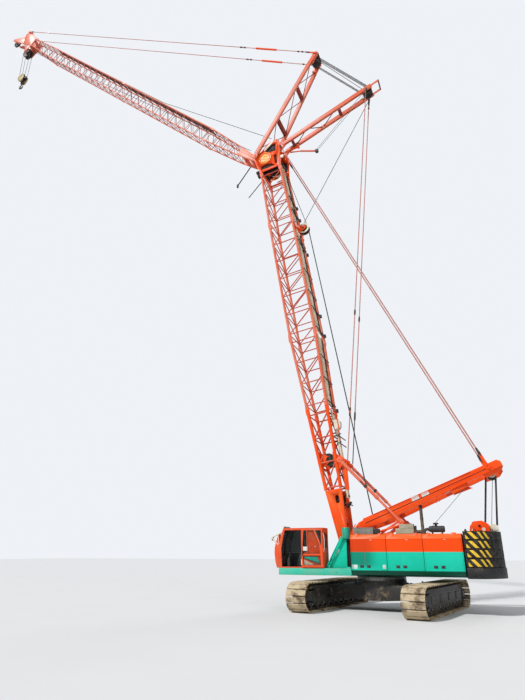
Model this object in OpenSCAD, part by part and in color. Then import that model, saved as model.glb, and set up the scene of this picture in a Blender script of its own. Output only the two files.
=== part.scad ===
/* [Pose in the picture] */
// Turn of the tracks under the upper works
track_turn = 80.3; // [0:0.1:180]
// Slope of the main boom above level
boom_slope = 81.2; // [62:0.1:82]
// Slope of the luffing jib above level
jib_slope = 43.1; // [20:0.1:60]
// Slope of the live mast, leaning back, above level
mast_slope = 20.5; // [19:0.1:30]
// Angle between the jib and the front strut
front_strut_angle = 75.3; // [60:0.1:90]
// Angle between the boom and the rear strut
rear_strut_angle = 75.6; // [60:0.1:90]

/* [Tracks] */
// Length of one track over its shoes
track_len = 3600; // [2800:10:4400]
// Height of one track
track_h = 600; // [500:10:700]
// Distance between the middles of the two tracks
track_gauge = 2500; // [2200:10:2900]
// Width of a track shoe
shoe_w = 465; // [380:5:520]
// Number of shoes round one track
shoe_n = 54; // [40:1:64]
// Thickness of a shoe with its grouser
shoe_t = 34; // [24:1:44]
// Open groove between two shoes
shoe_gap = 22; // [14:1:34]
// Depth of the link band under the shoes
link_t = 46; // [36:1:56]
// Width of the link band
link_w = 150; // [110:2:190]
// Radius of a lower roller
roller_r = 66; // [50:1:80]
// Number of lower rollers on one track
roller_n = 10; // [6:1:11]
// Axle radius of the end wheels
wheel_axle_r = 52; // [36:1:64]

/* [Car body and slewing ring] */
// Side of the car body's middle box
car_w = 1080; // [900:10:1300]
// Underside of the car body above ground
car_z = 215; // [180:5:260]
// Width of a cross beam between the tracks
cross_w = 250; // [180:5:320]
// Outer radius of the slewing ring
ring_r = 545; // [460:5:620]
// Bore radius of the slewing ring
ring_bore_r = 440; // [380:5:460]
// Underside of the slewing ring above ground
ring_z = 612; // [600:2:640]
// Height of the slewing ring
ring_h = 80; // [60:2:90]

/* [Upper frame] */
// Thickness of the frame's floor plate
floor_t = 40; // [30:1:60]
// Height of the long side plates
girder_h = 340; // [300:5:400]
// Thickness of the side plates and the foot brackets
girder_t = 38; // [28:1:48]
// Boom foot pin, ahead of the slewing axis
foot_x = 725; // [600:5:850]
// Boom foot pin, above ground
foot_z = 1225; // [1150:5:1300]
// Boom foot pin radius
foot_pin_r = 45; // [34:1:60]
// Middle of the boom's foot lug, from the centre plane
foot_y = 300; // [270:2:330]
// Thickness of the boom's foot lug
foot_lug_t = 60; // [44:2:72]
// Thickness of the mast's foot lug
mast_lug_t = 40; // [30:2:50]

/* [Winches] */
// Radius of a winch's rope layer
drum_r = 150; // [110:2:190]
// Radius of a winch's end flange
drum_flange_r = 215; // [180:5:240]
// Axle radius of a winch
drum_axle_r = 40; // [28:1:56]

/* [Machine house] */
// Front wall of the house
house_front = 485; // [440:5:520]
// Rear wall of the house
house_rear = -1860; // [-1880:5:-1700]
// Outer side of the house from the centre plane
house_y = 800; // [760:5:860]
// Inner side of the house from the centre plane
house_in_y = 300; // [290:5:340]
// Roof of the house above ground
house_top = 1560; // [1480:5:1640]
// Sheet thickness of the house
sheet_t = 15; // [10:1:20]
// Width of the slanted edge under the roof
roof_edge_w = 60; // [30:5:90]
// Height of the slanted edge under the roof
roof_edge_h = 90; // [50:5:120]
// Width and height of the slanted lower edge
sill_edge = 66; // [40:2:90]
// Seam between two doors
door_gap = 10; // [6:1:16]

/* [Cab] */
// Rear wall of the cab
cab_rear = 1090; // [1040:5:1150]
// Floor edge at the cab's front
cab_front = 2165; // [2050:5:2250]
// Inner side of the cab from the centre plane
cab_in_y = 450; // [430:5:480]
// Outer side of the cab from the centre plane
cab_out_y = 820; // [780:5:860]
// Roof of the cab above ground
cab_top = 1718; // [1640:2:1780]
// Wall thickness of the cab
cab_t = 26; // [18:1:34]
// Width of the doorway
doorway_w = 455; // [400:5:500]
// How far the door stands open in the picture
door_slide = 500; // [0:5:500]
// Glass thickness
glass_t = 6; // [4:1:10]

/* [Deck] */
// Top of the side deck above ground
deck_top = 860; // [840:5:880]
// Height of the side deck's edge
deck_h = 140; // [100:5:155]

/* [Counterweight] */
// Front face of the counterweight
cw_front = -1890; // [-1920:5:-1880]
// Half width of the counterweight
cw_y = 750; // [680:5:800]
// Rearmost point of the counterweight
cw_rear = -2625; // [-2700:5:-2560]
// Underside of the base slab above ground
cw_z = 690; // [670:5:710]
// Height of the base slab
cw_base_h = 205; // [180:1:230]
// Height of one upper slab
cw_slab_h = 177; // [150:1:190]
// Number of upper slabs
cw_slab_n = 4; // [2:1:5]
// Seam between two slabs
cw_seam = 8; // [4:1:14]

/* [Main boom] */
// Chord spacing across the boom
boom_w = 830; // [700:5:900]
// Chord spacing through the boom
boom_d = 720; // [620:5:780]
// Radius of a boom chord
boom_chord_r = 36; // [26:1:44]
// Radius of a boom lacing
boom_lace_r = 15; // [10:1:20]
// End of the boom foot section, from the foot pin
boom_s1 = 3450; // [3200:10:3700]
// End of the widening section
boom_s2 = 5550; // [5200:10:5900]
// End of the middle section
boom_s3 = 9400; // [8900:10:9700]
// End of the upper section
boom_s4 = 11450; // [11100:10:11600]
// Jib foot pin along the boom
jib_pin_l = 12180; // [12000:10:12400]
// Jib foot pin ahead of the boom's middle line
jib_pin_d = 390; // [340:5:440]
// Jib foot pin radius
jib_pin_r = 32; // [24:1:42]

/* [Luffing jib] */
// Length of the jib from foot pin to head plates
jib_len = 17000; // [15000:20:18000]
// Chord spacing across the jib
jib_w = 480; // [420:5:540]
// Chord spacing through the jib
jib_d = 500; // [440:5:560]
// Radius of a jib chord
jib_chord_r = 22; // [16:1:28]
// Radius of a jib lacing
jib_lace_r = 10; // [7:1:14]
// Length of the jib's foot section
jib_s1 = 2700; // [2400:20:3000]
// Length of the jib's head section
jib_s4 = 2600; // [2200:20:3000]
// Radius of the jib head's sheaves
jib_sheave_r = 240; // [200:5:270]

/* [Mast and struts] */
// Length of the live mast
mast_len = 3965; // [3700:5:4100]
// Inner face of a mast beam from the centre plane
mast_in_y = 385; // [370:5:400]
// Width of a mast beam
mast_w = 100; // [80:2:110]
// Length of the front strut
front_strut_len = 4435; // [4100:5:4700]
// Length of the rear strut
rear_strut_len = 3365; // [3000:5:3600]
// Side of a strut's leg
leg_w = 130; // [100:2:150]
// Rope sheave radius at the strut heads
strut_sheave_r = 150; // [110:5:180]

/* [Hook] */
// Length of the falls from the lower sheave to the hook block
fall_len = 1560; // [1200:10:2400]
// Radius of a rope fall
fall_r = 9; // [6:1:12]
// Hook block sheave radius
block_r = 170; // [130:5:210]

/* [Hidden] */
run_gap = 0.3;   // parts of one body that only touch
pin_gap = 0.3;   // a pin in its bore
move_gap = 6;    // moving pieces
side_gap = 2;    // lug faces beside a bracket
lace_fn = 6;
chord_inset = 12;  // chords end this far inside their lugs
u_boom = [cos(boom_slope), 0, sin(boom_slope)];
n_boom = [-sin(boom_slope), 0, cos(boom_slope)];
foot = [foot_x, 0, foot_z];
jib_pin = foot + jib_pin_l * u_boom - jib_pin_d * n_boom;
plate_z = ring_z + ring_h + move_gap;      // underside of the floor plate
plate_top = plate_z + floor_t;
lug_in = foot_y - foot_lug_t / 2;
lug_out = foot_y + foot_lug_t / 2;
bracket_out = lug_out + side_gap + girder_t;
mast_lug_in = bracket_out + side_gap;
house_z = plate_top + run_gap;
inner_r = track_h / 2 - shoe_t - link_t;
wheel_r = inner_r - run_gap;

// Shared helpers

module under() rotate([0, 0, track_turn]) children();
module at_boom() translate(foot) rotate([0, -boom_slope, 0]) children();
module at_jib() translate(jib_pin) rotate([0, -jib_slope, 0]) children();
module at_front_strut() translate(jib_pin) rotate([0, -jib_slope - front_strut_angle, 0]) children();
module at_mast() translate(foot) rotate([0, mast_slope, 0]) children();
module both() { children(); mirror([0, 1, 0]) children(); }
// a round bar lying across, centred on the plane y = 0
module across(r, w, f = 32) rotate([90, 0, 0]) cylinder(h = w, r = r, center = true, $fn = f);
// a flat plate in the XZ plane between y and y + t
module plate(points, y, t) translate([0, y + t, 0]) rotate([90, 0, 0]) linear_extrude(height = t)
    polygon(points);
module bar(p, q, r, n = lace_fn, roll = 0) {
  v = q - p;
  l = norm(v);
  translate(p) rotate([0, acos(v[2] / l), atan2(v[1], v[0])]) rotate([0, 0, roll]) cylinder(h = l, r = r,
      $fn = n);
}
// [x, half width, bottom, top] of a lattice at x, between two end sections
function mix(a, b, t) = a + (b - a) * t;
function section(s, e, t) = [for (k = [0 : 3]) mix(s[k], e[k], t)];
function corner(c, sy, top) = [c[0], sy * c[1], top ? c[3] : c[2]];
function along(s, e, d) = section(s, e, d / (e[0] - s[0]));
// four chords between end sections s and e, a square frame at each bay and one diagonal in each face
module lattice(s, e, bays, chord_r, lace_r, ends = [0, 0]) {
  run = e[0] - s[0];
  first = along(s, e, chord_inset);
  last = along(s, e, run - chord_inset);
  for (sy = [-1, 1], top = [false, true])
    bar(corner(first, sy, top), corner(last, sy, top), chord_r, 24, top ? 180 - 45 * sy : 45 * sy);
  for (i = [0 : bays]) {
    a = along(s, e, mix(ends[0], run - ends[1], i / bays));
    b = along(s, e, mix(ends[0], run - ends[1], (i + 1) / bays));
    for (sy = [-1, 1]) {
      bar(corner(a, sy, false), corner(a, sy, true), lace_r);
      if (i < bays) bar(corner(a, sy, false), corner(b, sy, true), lace_r);
    }
    for (top = [false, true]) {
      bar(corner(a, -1, top), corner(a, 1, top), lace_r);
      if (i < bays) bar(corner(a, -1, top), corner(b, 1, top), lace_r);
    }
  }
}
// a grooved rope wheel lying in the XZ plane, centred on y = 0
module sheave(r, w, bore) rotate([90, 0, 0]) rotate_extrude($fn = 48)
  polygon([[bore, -w / 2], [r, -w / 2], [r, -w * 0.36], [r - w * 0.3, -w * 0.2], [r - w * 0.3, w * 0.2],
    [r, w * 0.36], [r, w / 2], [bore, w / 2]]);

// Tracks and car body

loop_side = track_len - track_h;
loop_arc = PI * track_h / 2;
loop_all = 2 * loop_side + 2 * loop_arc;
function loop_pt(s, r) = let(t = s - loop_all * floor(s / loop_all), c = track_h / 2)
  t < loop_side ? [t - loop_side / 2, c - r]
  : t < loop_side + loop_arc ? let(a = (t - loop_side) / loop_arc * 180)
      [loop_side / 2 + r * sin(a), c - r * cos(a)]
  : t < 2 * loop_side + loop_arc ? [loop_side / 2 - (t - loop_side - loop_arc), c + r]
  : let(a = (t - 2 * loop_side - loop_arc) / loop_arc * 180) [-loop_side / 2 - r * sin(a), c + r * cos(a)];
shoe_pitch = loop_all / shoe_n;
module loop_void(r, w) {
  translate([-loop_side / 2, -w / 2, track_h / 2 - r]) cube([loop_side, w, 2 * r]);
  for (sx = [-1, 1]) translate([sx * loop_side / 2, 0, track_h / 2]) across(r, w, 64);
}
module track(sy) color("dimgray") under() translate([0, sy * track_gauge / 2, 0]) {
  groove_r = track_h / 2 - shoe_t * 0.62;
  difference() {
    plate([for (i = [0 : shoe_n - 1], k = [0 : 3]) let(s = i * shoe_pitch)
      k == 0 ? loop_pt(s + shoe_gap / 2, track_h / 2)
      : k == 1 ? loop_pt(s + shoe_pitch - shoe_gap / 2, track_h / 2)
      : k == 2 ? loop_pt(s + shoe_pitch - shoe_gap / 2, groove_r)
      : loop_pt(s + shoe_pitch + shoe_gap / 2, groove_r)], -shoe_w / 2, shoe_w);
    loop_void(track_h / 2 - shoe_t, shoe_w + 2);
  }
  difference() {
    loop_void(track_h / 2 - shoe_t + 1, link_w);
    loop_void(inner_r, link_w + 2);
  }
}
module track_left() track(1);
module track_right() track(-1);

module end_wheels(sy) color("dimgray") under() translate([0, sy * track_gauge / 2, 0]) {
  teeth = 22;
  // sprocket at the rear end
  translate([-loop_side / 2, 0, track_h / 2]) difference() {
    union() {
      plate([for (i = [0 : 2 * teeth - 1]) let(r = i % 2 == 0 ? wheel_r - 1 : wheel_r - 24, a = i * 180 / teeth)
        [r * cos(a), r * sin(a)]], -link_w / 2, link_w);
      across(wheel_axle_r + 60, link_w + 50);
    }
    across(wheel_axle_r + pin_gap, link_w + 60);
  }
  // idler at the front end
  translate([loop_side / 2, 0, track_h / 2]) difference() {
    union() {
      across(wheel_r, link_w, 64);
      across(wheel_axle_r + 60, link_w + 50);
    }
    across(wheel_axle_r + pin_gap, link_w + 60);
    for (sw = [-1, 1]) translate([0, sw * link_w / 2, 0]) difference() {
      across(wheel_r - 36, 60, 64);
      across(wheel_axle_r + 62, 62);
    }
  }
}
module end_wheels_left() end_wheels(1);
module end_wheels_right() end_wheels(-1);

frame_y = 138;      // half width of a track frame
frame_low = 175;
carrier_x = loop_side / 5;   // carrier rollers ahead of and behind the middle
car_h = 345;                 // height of the middle box
beam_x = 400;                // cross beams ahead of and behind the middle
beam_end = [240, 440];       // underside and top of a cross beam at the tracks
beam_mid = [600, 700, 530];  // where it turns level below, above, and its top there
module track_frame(sy) color("dimgray") under() translate([0, sy * track_gauge / 2, 0]) {
  arm_in = link_w / 2 + 25 + side_gap;
  body_x = loop_side / 2 - inner_r - 20;
  plate([[-body_x, frame_low], [body_x, frame_low], [body_x, 400], [body_x - 180, 460],
    [-body_x + 180, 460], [-body_x, 400]], -frame_y, 2 * frame_y);
  // side arms that carry the end wheels
  for (s = [-1, 1]) plate([[-loop_side / 2 - 90, 240], [-body_x + 60, 210], [body_x - 60, 210],
    [loop_side / 2 + 90, 240], [loop_side / 2 + 90, 360], [body_x - 60, 430], [-body_x + 60, 430],
    [-loop_side / 2 - 90, 360]], s > 0 ? arm_in : -arm_in - 32, 32);
  for (sx = [-1, 1]) translate([sx * loop_side / 2, 0, track_h / 2]) across(wheel_axle_r, 2 * arm_in + 64 + 20);
  // lower rollers in their side rails
  run = loop_side - 500;
  for (s = [-1, 1]) plate([[-run / 2 - 60, 120], [run / 2 + 60, 120], [run / 2, frame_low + 1],
    [-run / 2, frame_low + 1]], s > 0 ? link_w / 2 + 4 : -link_w / 2 - 28, 24);
  for (i = [0 : roller_n - 1])
    translate([-run / 2 + run * i / (roller_n - 1), 0, track_h / 2 - inner_r + run_gap + roller_r])
      across(roller_r, link_w + 20);
  // carrier rollers under the upper run
  for (x = [-carrier_x, carrier_x]) translate([x, 0, track_h / 2 + inner_r - run_gap - 40]) {
    across(40, link_w);
    for (s = [-1, 1]) translate([-30, s * (link_w / 2) - 12, -60]) cube([60, 24, 70]);
  }
}
module track_frame_left() track_frame(1);
module track_frame_right() track_frame(-1);

module car_body() color("dimgray") under() {
  reach = track_gauge / 2 - frame_y - run_gap;
  // eight-sided middle box under the ring's seat
  translate([0, 0, car_z]) rotate([0, 0, 22.5]) cylinder(h = car_h, r = car_w / 2 / cos(22.5), $fn = 8);
  translate([0, 0, car_z + 40]) cylinder(h = ring_z - car_z - 40, r = ring_r, $fn = 64);
  for (sx = [-1, 1]) translate([sx * beam_x - cross_w / 2, -reach, 0]) rotate([90, 0, 90])
    linear_extrude(height = cross_w) polygon([[0, beam_end[0]], [reach - beam_mid[0], car_z + 20],
      [reach + beam_mid[0], car_z + 20], [2 * reach, beam_end[0]], [2 * reach, beam_end[1]],
      [reach + beam_mid[1], beam_mid[2]], [reach - beam_mid[1], beam_mid[2]], [0, beam_end[1]]]);
}
module slew_ring() color("silver") difference() {
  translate([0, 0, ring_z]) cylinder(h = ring_h, r = ring_r, $fn = 96);
  translate([0, 0, ring_z - 1]) cylinder(h = ring_h + 2, r = ring_bore_r, $fn = 96);
  for (i = [0 : 47]) rotate([0, 0, i * 7.5]) translate([ring_r - 8, -9, ring_z - 1]) cube([20, 18,
      ring_h * 0.55]);
}

// Upper frame

winch_x = [130, -620];
winch_z = plate_top + drum_flange_r + 30;
module upper_frame() color("mediumseagreen") {
  difference() {
    union() {
      translate([0, 0, ring_z + 6]) cylinder(h = plate_top - ring_z - 6, r = ring_bore_r - pin_gap, $fn = 96);
      translate([cw_front, -bracket_out, plate_z]) cube([foot_x + 130 - cw_front, 2 * bracket_out, floor_t]);
      // long side plates rising into the boom foot brackets
      both() {
        plate([[cw_front, plate_z], [foot_x + 130, plate_z], [foot_x + 130, plate_z + 180], [foot_x + 95,
            foot_z],
          [foot_x - 95, foot_z], [foot_x - 330, plate_top + girder_h], [cw_front, plate_top + girder_h]],
          lug_in - side_gap - girder_t, girder_t);
        plate([[house_front + 10, plate_z], [foot_x + 130, plate_z], [foot_x + 95, foot_z], [foot_x - 95,
            foot_z]],
          lug_out + side_gap, girder_t);
        for (y = [lug_in - side_gap - girder_t, lug_out + side_gap])
          translate([foot_x, y + girder_t, foot_z]) rotate([90, 0, 0]) cylinder(h = girder_t, r = 95, $fn = 48);
        translate([foot_x, mast_lug_in + mast_lug_t + 14, foot_z]) rotate([90, 0, 0])
          cylinder(h = mast_lug_in + mast_lug_t + 14 - (lug_in - side_gap - girder_t - 10),
              r = foot_pin_r, $fn = 48);
      }
      // rear plate that holds the counterweight
      translate([cw_front, -560, plate_z]) cube([28, 1120, 420]);
    }
    both() for (x = winch_x) translate([x, lug_in, winch_z]) across(drum_axle_r + pin_gap, 160);
  }
}
module winch(x) color("darkslategray") translate([x, 0, winch_z]) {
  half = lug_in - side_gap - girder_t - side_gap;
  across(drum_r, 2 * half - 20, 48);
  for (s = [-1, 1]) translate([0, s * (half - 18), 0]) across(drum_flange_r, 24, 48);
  across(drum_axle_r, 2 * half + 50);
}
module winch_front() winch(winch_x[0]);
module winch_rear() winch(winch_x[1]);

module side_deck() color("mediumseagreen") both() {
  x1 = cab_front + 15;
  difference() {
    translate([house_front + 5, bracket_out + 64, deck_top - deck_h]) cube([x1 - house_front - 5,
        cab_out_y - bracket_out - 64, deck_h]);
    translate([house_front + 25, bracket_out + 84, deck_top - deck_h - 1])
      cube([x1 - house_front - 45, cab_out_y - bracket_out - 104, deck_h - 19]);
  }
  // cross members from the frame to the deck
  for (x = [560, 800]) translate([x, bracket_out, plate_z]) cube([60, 66, floor_t]);
}

// Machine house

house_profile = [[house_y - sill_edge, house_z], [house_y, house_z + sill_edge],
  [house_y, house_top - roof_edge_h], [house_y - roof_edge_w, house_top]];
module in_house_plane(x) translate([x, 0, 0]) rotate([90, 0, 90]) children();
function seam_x(i) = house_front - sheet_t + (house_rear - house_front + 2 * sheet_t) * i / 3;
module house() color("orangered") {
  body = [[house_in_y, house_z], [house_y - sill_edge, house_z], [house_y, house_z + sill_edge],
    [house_y, house_top - roof_edge_h], [house_y - roof_edge_w, house_top], [house_in_y, house_top]];
  inner = [[house_in_y + sheet_t, house_z + sill_edge], [house_y + 1, house_z + sill_edge],
    [house_y + 1, house_top + 1], [house_y - roof_edge_w - 10, house_top + 1],
    [house_y - roof_edge_w - 10, house_top - sheet_t], [house_in_y + sheet_t, house_top - sheet_t]];
  difference() {
    in_house_plane(house_rear) linear_extrude(height = house_front - house_rear) polygon(body);
    in_house_plane(house_rear + sheet_t) linear_extrude(height = house_front - house_rear - 2 * sheet_t)
        polygon(inner);
  }
  // posts behind the door seams
  for (i = [1, 2]) translate([seam_x(i) - 15, house_y - roof_edge_w - 60, house_z + sill_edge])
    cube([30, 40, house_top - sheet_t - house_z - sill_edge]);
  for (i = [1 : 3]) at_hinges(i) hinge_ears();
}
// door hinges: a pin in two ears on the roof, a knuckle between them on the door
hinge_y = house_y - roof_edge_w - 5;
hinge_z = house_top + 12;
hinge_pin_r = 4;
knuckle_r = 9;
knuckle_w = 60;
module at_hinges(i) for (x = [seam_x(i) + 130, seam_x(i - 1) - 130]) translate([x, 0, 0]) children();
module hinge_ears() {
  ear = [[hinge_y - 23, house_top - 1], [hinge_y - 7, house_top - 1], [hinge_y - 7, house_top + 0.5],
    [hinge_y + 6, hinge_z - 6], [hinge_y + 6, hinge_z + 7], [hinge_y - 5, hinge_z + 9], [hinge_y - 13,
        hinge_z + 7]];
  for (s = [0, 1]) in_house_plane(s == 0 ? -knuckle_w / 2 - run_gap - 14 : knuckle_w / 2 + run_gap)
    linear_extrude(height = 14) polygon(ear);
  in_house_plane(-knuckle_w / 2 - 5) translate([hinge_y, hinge_z]) cylinder(h = knuckle_w + 10,
      r = hinge_pin_r, $fn = 24);
}
module knuckle() in_house_plane(-knuckle_w / 2) difference() {
  union() {
    translate([hinge_y, hinge_z]) cylinder(h = knuckle_w, r = knuckle_r, $fn = 32);
    linear_extrude(height = knuckle_w) polygon([[hinge_y, hinge_z - 8.8], [house_y - roof_edge_w,
        house_top - 6],
      [house_y - 40, house_top - 36], [house_y - 33, house_top - 31], [hinge_y + 9, hinge_z - 5],
      [hinge_y + 7, hinge_z + 5], [hinge_y, hinge_z + 8.8]]);
  }
  translate([hinge_y, hinge_z, -1]) cylinder(h = knuckle_w + 2, r = hinge_pin_r + pin_gap, $fn = 32);
}
module house_left() house();
module house_right() mirror([0, 1, 0]) house();
module door(i) color("mediumseagreen") {
  t = 12;
  x0 = seam_x(i) + door_gap / 2;
  x1 = seam_x(i - 1) - door_gap / 2;
  in_house_plane(x0) linear_extrude(height = x1 - x0) polygon([[house_y, house_z + sill_edge + 4],
    [house_y, house_top - roof_edge_h], [house_y - roof_edge_w - 1, house_top],
    [house_y - roof_edge_w - 1, house_top - t], [house_y - t, house_top - roof_edge_h - 3],
    [house_y - t, house_z + sill_edge + 4]]);
  at_hinges(i) knuckle();
}
module door_left_1() door(1);
module door_left_2() door(2);
module door_left_3() door(3);
module door_right_1() mirror([0, 1, 0]) door(1);
module door_right_2() mirror([0, 1, 0]) door(2);
module door_right_3() mirror([0, 1, 0]) door(3);
module engine() color("dimgray") translate([-1500, -house_y + 125, house_z + sill_edge + run_gap])
  cube([900, 330, 420]);

gear_y = 648;   // middle of the roof gear
module roof_gear() color("dimgray") {
  z = house_top + run_gap;
  // filter box with its dark end
  translate([-25, gear_y - 60, z]) cube([455, 120, 150]);
  translate([-160, gear_y - 50, z]) cube([135 + 1, 100, 120]);
  // cooler box
  translate([-905, gear_y - 60, z]) cube([315, 120, 200]);
  // exhaust with its elbow
  translate([-1090, gear_y, z]) cylinder(h = 560, r = 34, $fn = 32);
  translate([-1090, gear_y, z + 560]) cylinder(h = 36, r = 40, $fn = 32);
  translate([-1090, gear_y, z + 44]) rotate([0, 90, 0]) cylinder(h = 165, r = 38, $fn = 32);
  translate([-930, gear_y, z]) cylinder(h = 170, r = 34, $fn = 32);
  // air cleaner with its intake cap
  translate([-1545, gear_y, z + 95]) rotate([0, 90, 0]) cylinder(h = 325, r = 68, $fn = 32);
  for (x = [-1500, -1300]) translate([x, gear_y - 40, z]) cube([30, 80, 60]);
  translate([-1370, gear_y, z + 150]) cylinder(h = 60, r = 26, $fn = 32);
  translate([-1370, gear_y, z + 195]) cylinder(h = 26, r = 60, $fn = 32);
}

// Cab

cab_floor = deck_top + run_gap;
cab_outline = [[cab_rear, cab_floor], [cab_front, cab_floor], [cab_front + 12, cab_floor + 180],
  [cab_front + 8, cab_floor + 420], [cab_front - 30, cab_floor + 660], [cab_front - 105, cab_top],
      [cab_rear, cab_top]];
doorway_x = cab_front - 85 - doorway_w;
module cab() color("orangered") {
  w = cab_out_y - cab_in_y;
  difference() {
    plate(cab_outline, cab_in_y, w);
    plate([[cab_rear + cab_t, cab_floor + cab_t], [cab_front - cab_t - 6, cab_floor + cab_t],
      [cab_front - cab_t - 2, cab_floor + 420], [cab_front - 60, cab_floor + 650], [cab_front - 120,
          cab_top - cab_t],
      [cab_rear + cab_t, cab_top - cab_t]], cab_in_y + cab_t, w - 2 * cab_t);
    // doorway
    plate([[doorway_x, cab_floor + cab_t], [cab_front - 60, cab_floor + cab_t], [cab_front - 48,
        cab_floor + 420],
      [cab_front - 92, cab_floor + 640], [cab_front - 140, cab_top - 46], [doorway_x, cab_top - 46]],
      cab_out_y - cab_t - 1, cab_t + 2);
    // rear side windows, both sides
    for (y = [cab_in_y - 1, cab_out_y - cab_t - 1])
      plate([[cab_rear + 50, cab_floor + 330], [doorway_x - 40, cab_floor + 330], [doorway_x - 40,
          cab_top - 46],
        [cab_rear + 70, cab_top - 46]], y, cab_t + 2);
    // inner side front window
    plate([[doorway_x + 10, cab_floor + 330], [cab_front - 50, cab_floor + 330], [cab_front - 92,
        cab_floor + 640],
      [cab_front - 140, cab_top - 46], [doorway_x + 10, cab_top - 46]], cab_in_y - 1, cab_t + 2);
    // windscreen, upper and lower, and the roof window
    translate([cab_front - 150, cab_in_y + 40, cab_floor + 300]) cube([200, w - 80, 470]);
    translate([cab_front - 60, cab_in_y + 40, cab_floor + 60]) cube([120, w - 80, 200]);
    translate([cab_front - 420, cab_in_y + 70, cab_top - cab_t - 1]) cube([240, w - 140, cab_t + 2]);
    // rear window
    translate([cab_rear - 1, cab_in_y + 50, cab_floor + 420]) cube([cab_t + 2, w - 100, 330]);
  }
}
module cab_glass() color("lightsteelblue") {
  g = glass_t;
  e = run_gap;
  for (y = [cab_in_y + cab_t / 2, cab_out_y - cab_t / 2 - g])
    plate([[cab_rear + 50 + e, cab_floor + 330 + e], [doorway_x - 40 - e, cab_floor + 330 + e],
      [doorway_x - 40 - e, cab_top - 46 - e], [cab_rear + 70 + e, cab_top - 46 - e]], y, g);
  plate([[doorway_x + 10 + e, cab_floor + 330 + e], [cab_front - 50 - e, cab_floor + 330 + e],
    [cab_front - 92 - e, cab_floor + 640], [cab_front - 140 - e, cab_top - 46 - e],
    [doorway_x + 10 + e, cab_top - 46 - e]], cab_in_y + cab_t / 2, g);
  // windscreen in three flat bands
  for (b = [[0, 300 + e, 4, 420], [4, 420, 42, 660], [42, 660, 100, 770 - e]])
    plate([[cab_front - b[0] - 14, cab_floor + b[1]], [cab_front - b[0] - 8, cab_floor + b[1]],
      [cab_front - b[2] - 8, cab_floor + b[3]], [cab_front - b[2] - 14, cab_floor + b[3]]],
      cab_in_y + 40 + e, cab_out_y - cab_in_y - 80 - 2 * e);
  plate([[cab_front - 14, cab_floor + 60 + e], [cab_front - 8, cab_floor + 60 + e],
    [cab_front - 2, cab_floor + 260 - e], [cab_front - 8, cab_floor + 260 - e]],
    cab_in_y + 40 + e, cab_out_y - cab_in_y - 80 - 2 * e);
  translate([cab_front - 420 + e, cab_in_y + 70 + e, cab_top - cab_t / 2])
    cube([240 - 2 * e, cab_out_y - cab_in_y - 140 - 2 * e, g]);
  translate([cab_rear + cab_t / 2, cab_in_y + 50 + e, cab_floor + 420 + e])
    cube([g, cab_out_y - cab_in_y - 100 - 2 * e, 330 - 2 * e]);
}
module cab_seat() color("black") {
  y = (cab_in_y + cab_out_y) / 2;
  z = cab_floor + cab_t + run_gap;
  x = cab_rear + 330;
  translate([x, y - 60, z]) cube([160, 120, 150]);
  translate([x - 40, y - 110, z + 150]) cube([240, 220, 50]);
  plate([[x - 40, z + 190], [x + 10, z + 190], [x - 60, z + 500], [x - 100, z + 500]], y - 105, 210);
  // lever consoles beside the seat and the front levers
  for (s = [-1, 1]) translate([x, y + s * 130 - 18, z]) cube([260, 36, 260]);
  for (s = [-1, 1]) translate([x + 220, y + s * 130, z + 250]) cylinder(h = 90, r = 8, $fn = 16);
  translate([cab_front - 220, y - 90, z]) cube([60, 180, 200]);
  for (k = [-1 : 1]) translate([cab_front - 190, y + 50 * k, z + 190]) cylinder(h = 120, r = 8, $fn = 16);
}
module cab_door() color("orangered") translate([-door_slide, 0, 0]) {
  x0 = doorway_x - 20;
  x1 = cab_front - 70;
  y = cab_out_y + 4;
  difference() {
    plate([[x0, cab_floor + 20], [x1 + 8, cab_floor + 20], [x1 + 22, cab_floor + 300], [x1 + 14,
        cab_floor + 480],
      [x1 - 26, cab_floor + 660], [x1 - 70, cab_top - 20], [x0, cab_top - 20]], y, 22);
    plate([[x0 + 34, cab_floor + 300], [x1 - 24, cab_floor + 300], [x1 - 34, cab_floor + 480], [x1 - 74,
        cab_floor + 660],
      [x1 - 110, cab_top - 56], [x0 + 34, cab_top - 56]], y - 1, 24);
    plate([[x0 + 34, cab_floor + 60], [x1 - 40, cab_floor + 60], [x1 - 24, cab_floor + 250], [x0 + 34,
        cab_floor + 250]],
      y - 1, 24);
  }
  // runners on the cab's side
  for (r = [[x0 + 4, cab_floor + 24], [x1 - 40, cab_floor + 24], [x0 + 4, cab_top - 52], [x1 - 120,
      cab_top - 52]])
    translate([r[0], cab_out_y + run_gap, r[1]]) cube([34, 5, 22]);
  // panes
  plate([[x0 + 33, cab_floor + 299], [x1 - 23, cab_floor + 299], [x1 - 33, cab_floor + 480], [x1 - 73,
      cab_floor + 660],
    [x1 - 109, cab_top - 55], [x0 + 33, cab_top - 55]], y + 8, glass_t);
  plate([[x0 + 33, cab_floor + 59], [x1 - 39, cab_floor + 59], [x1 - 23, cab_floor + 251], [x0 + 33,
      cab_floor + 251]],
    y + 8, glass_t);
}

// Counterweight

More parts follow.
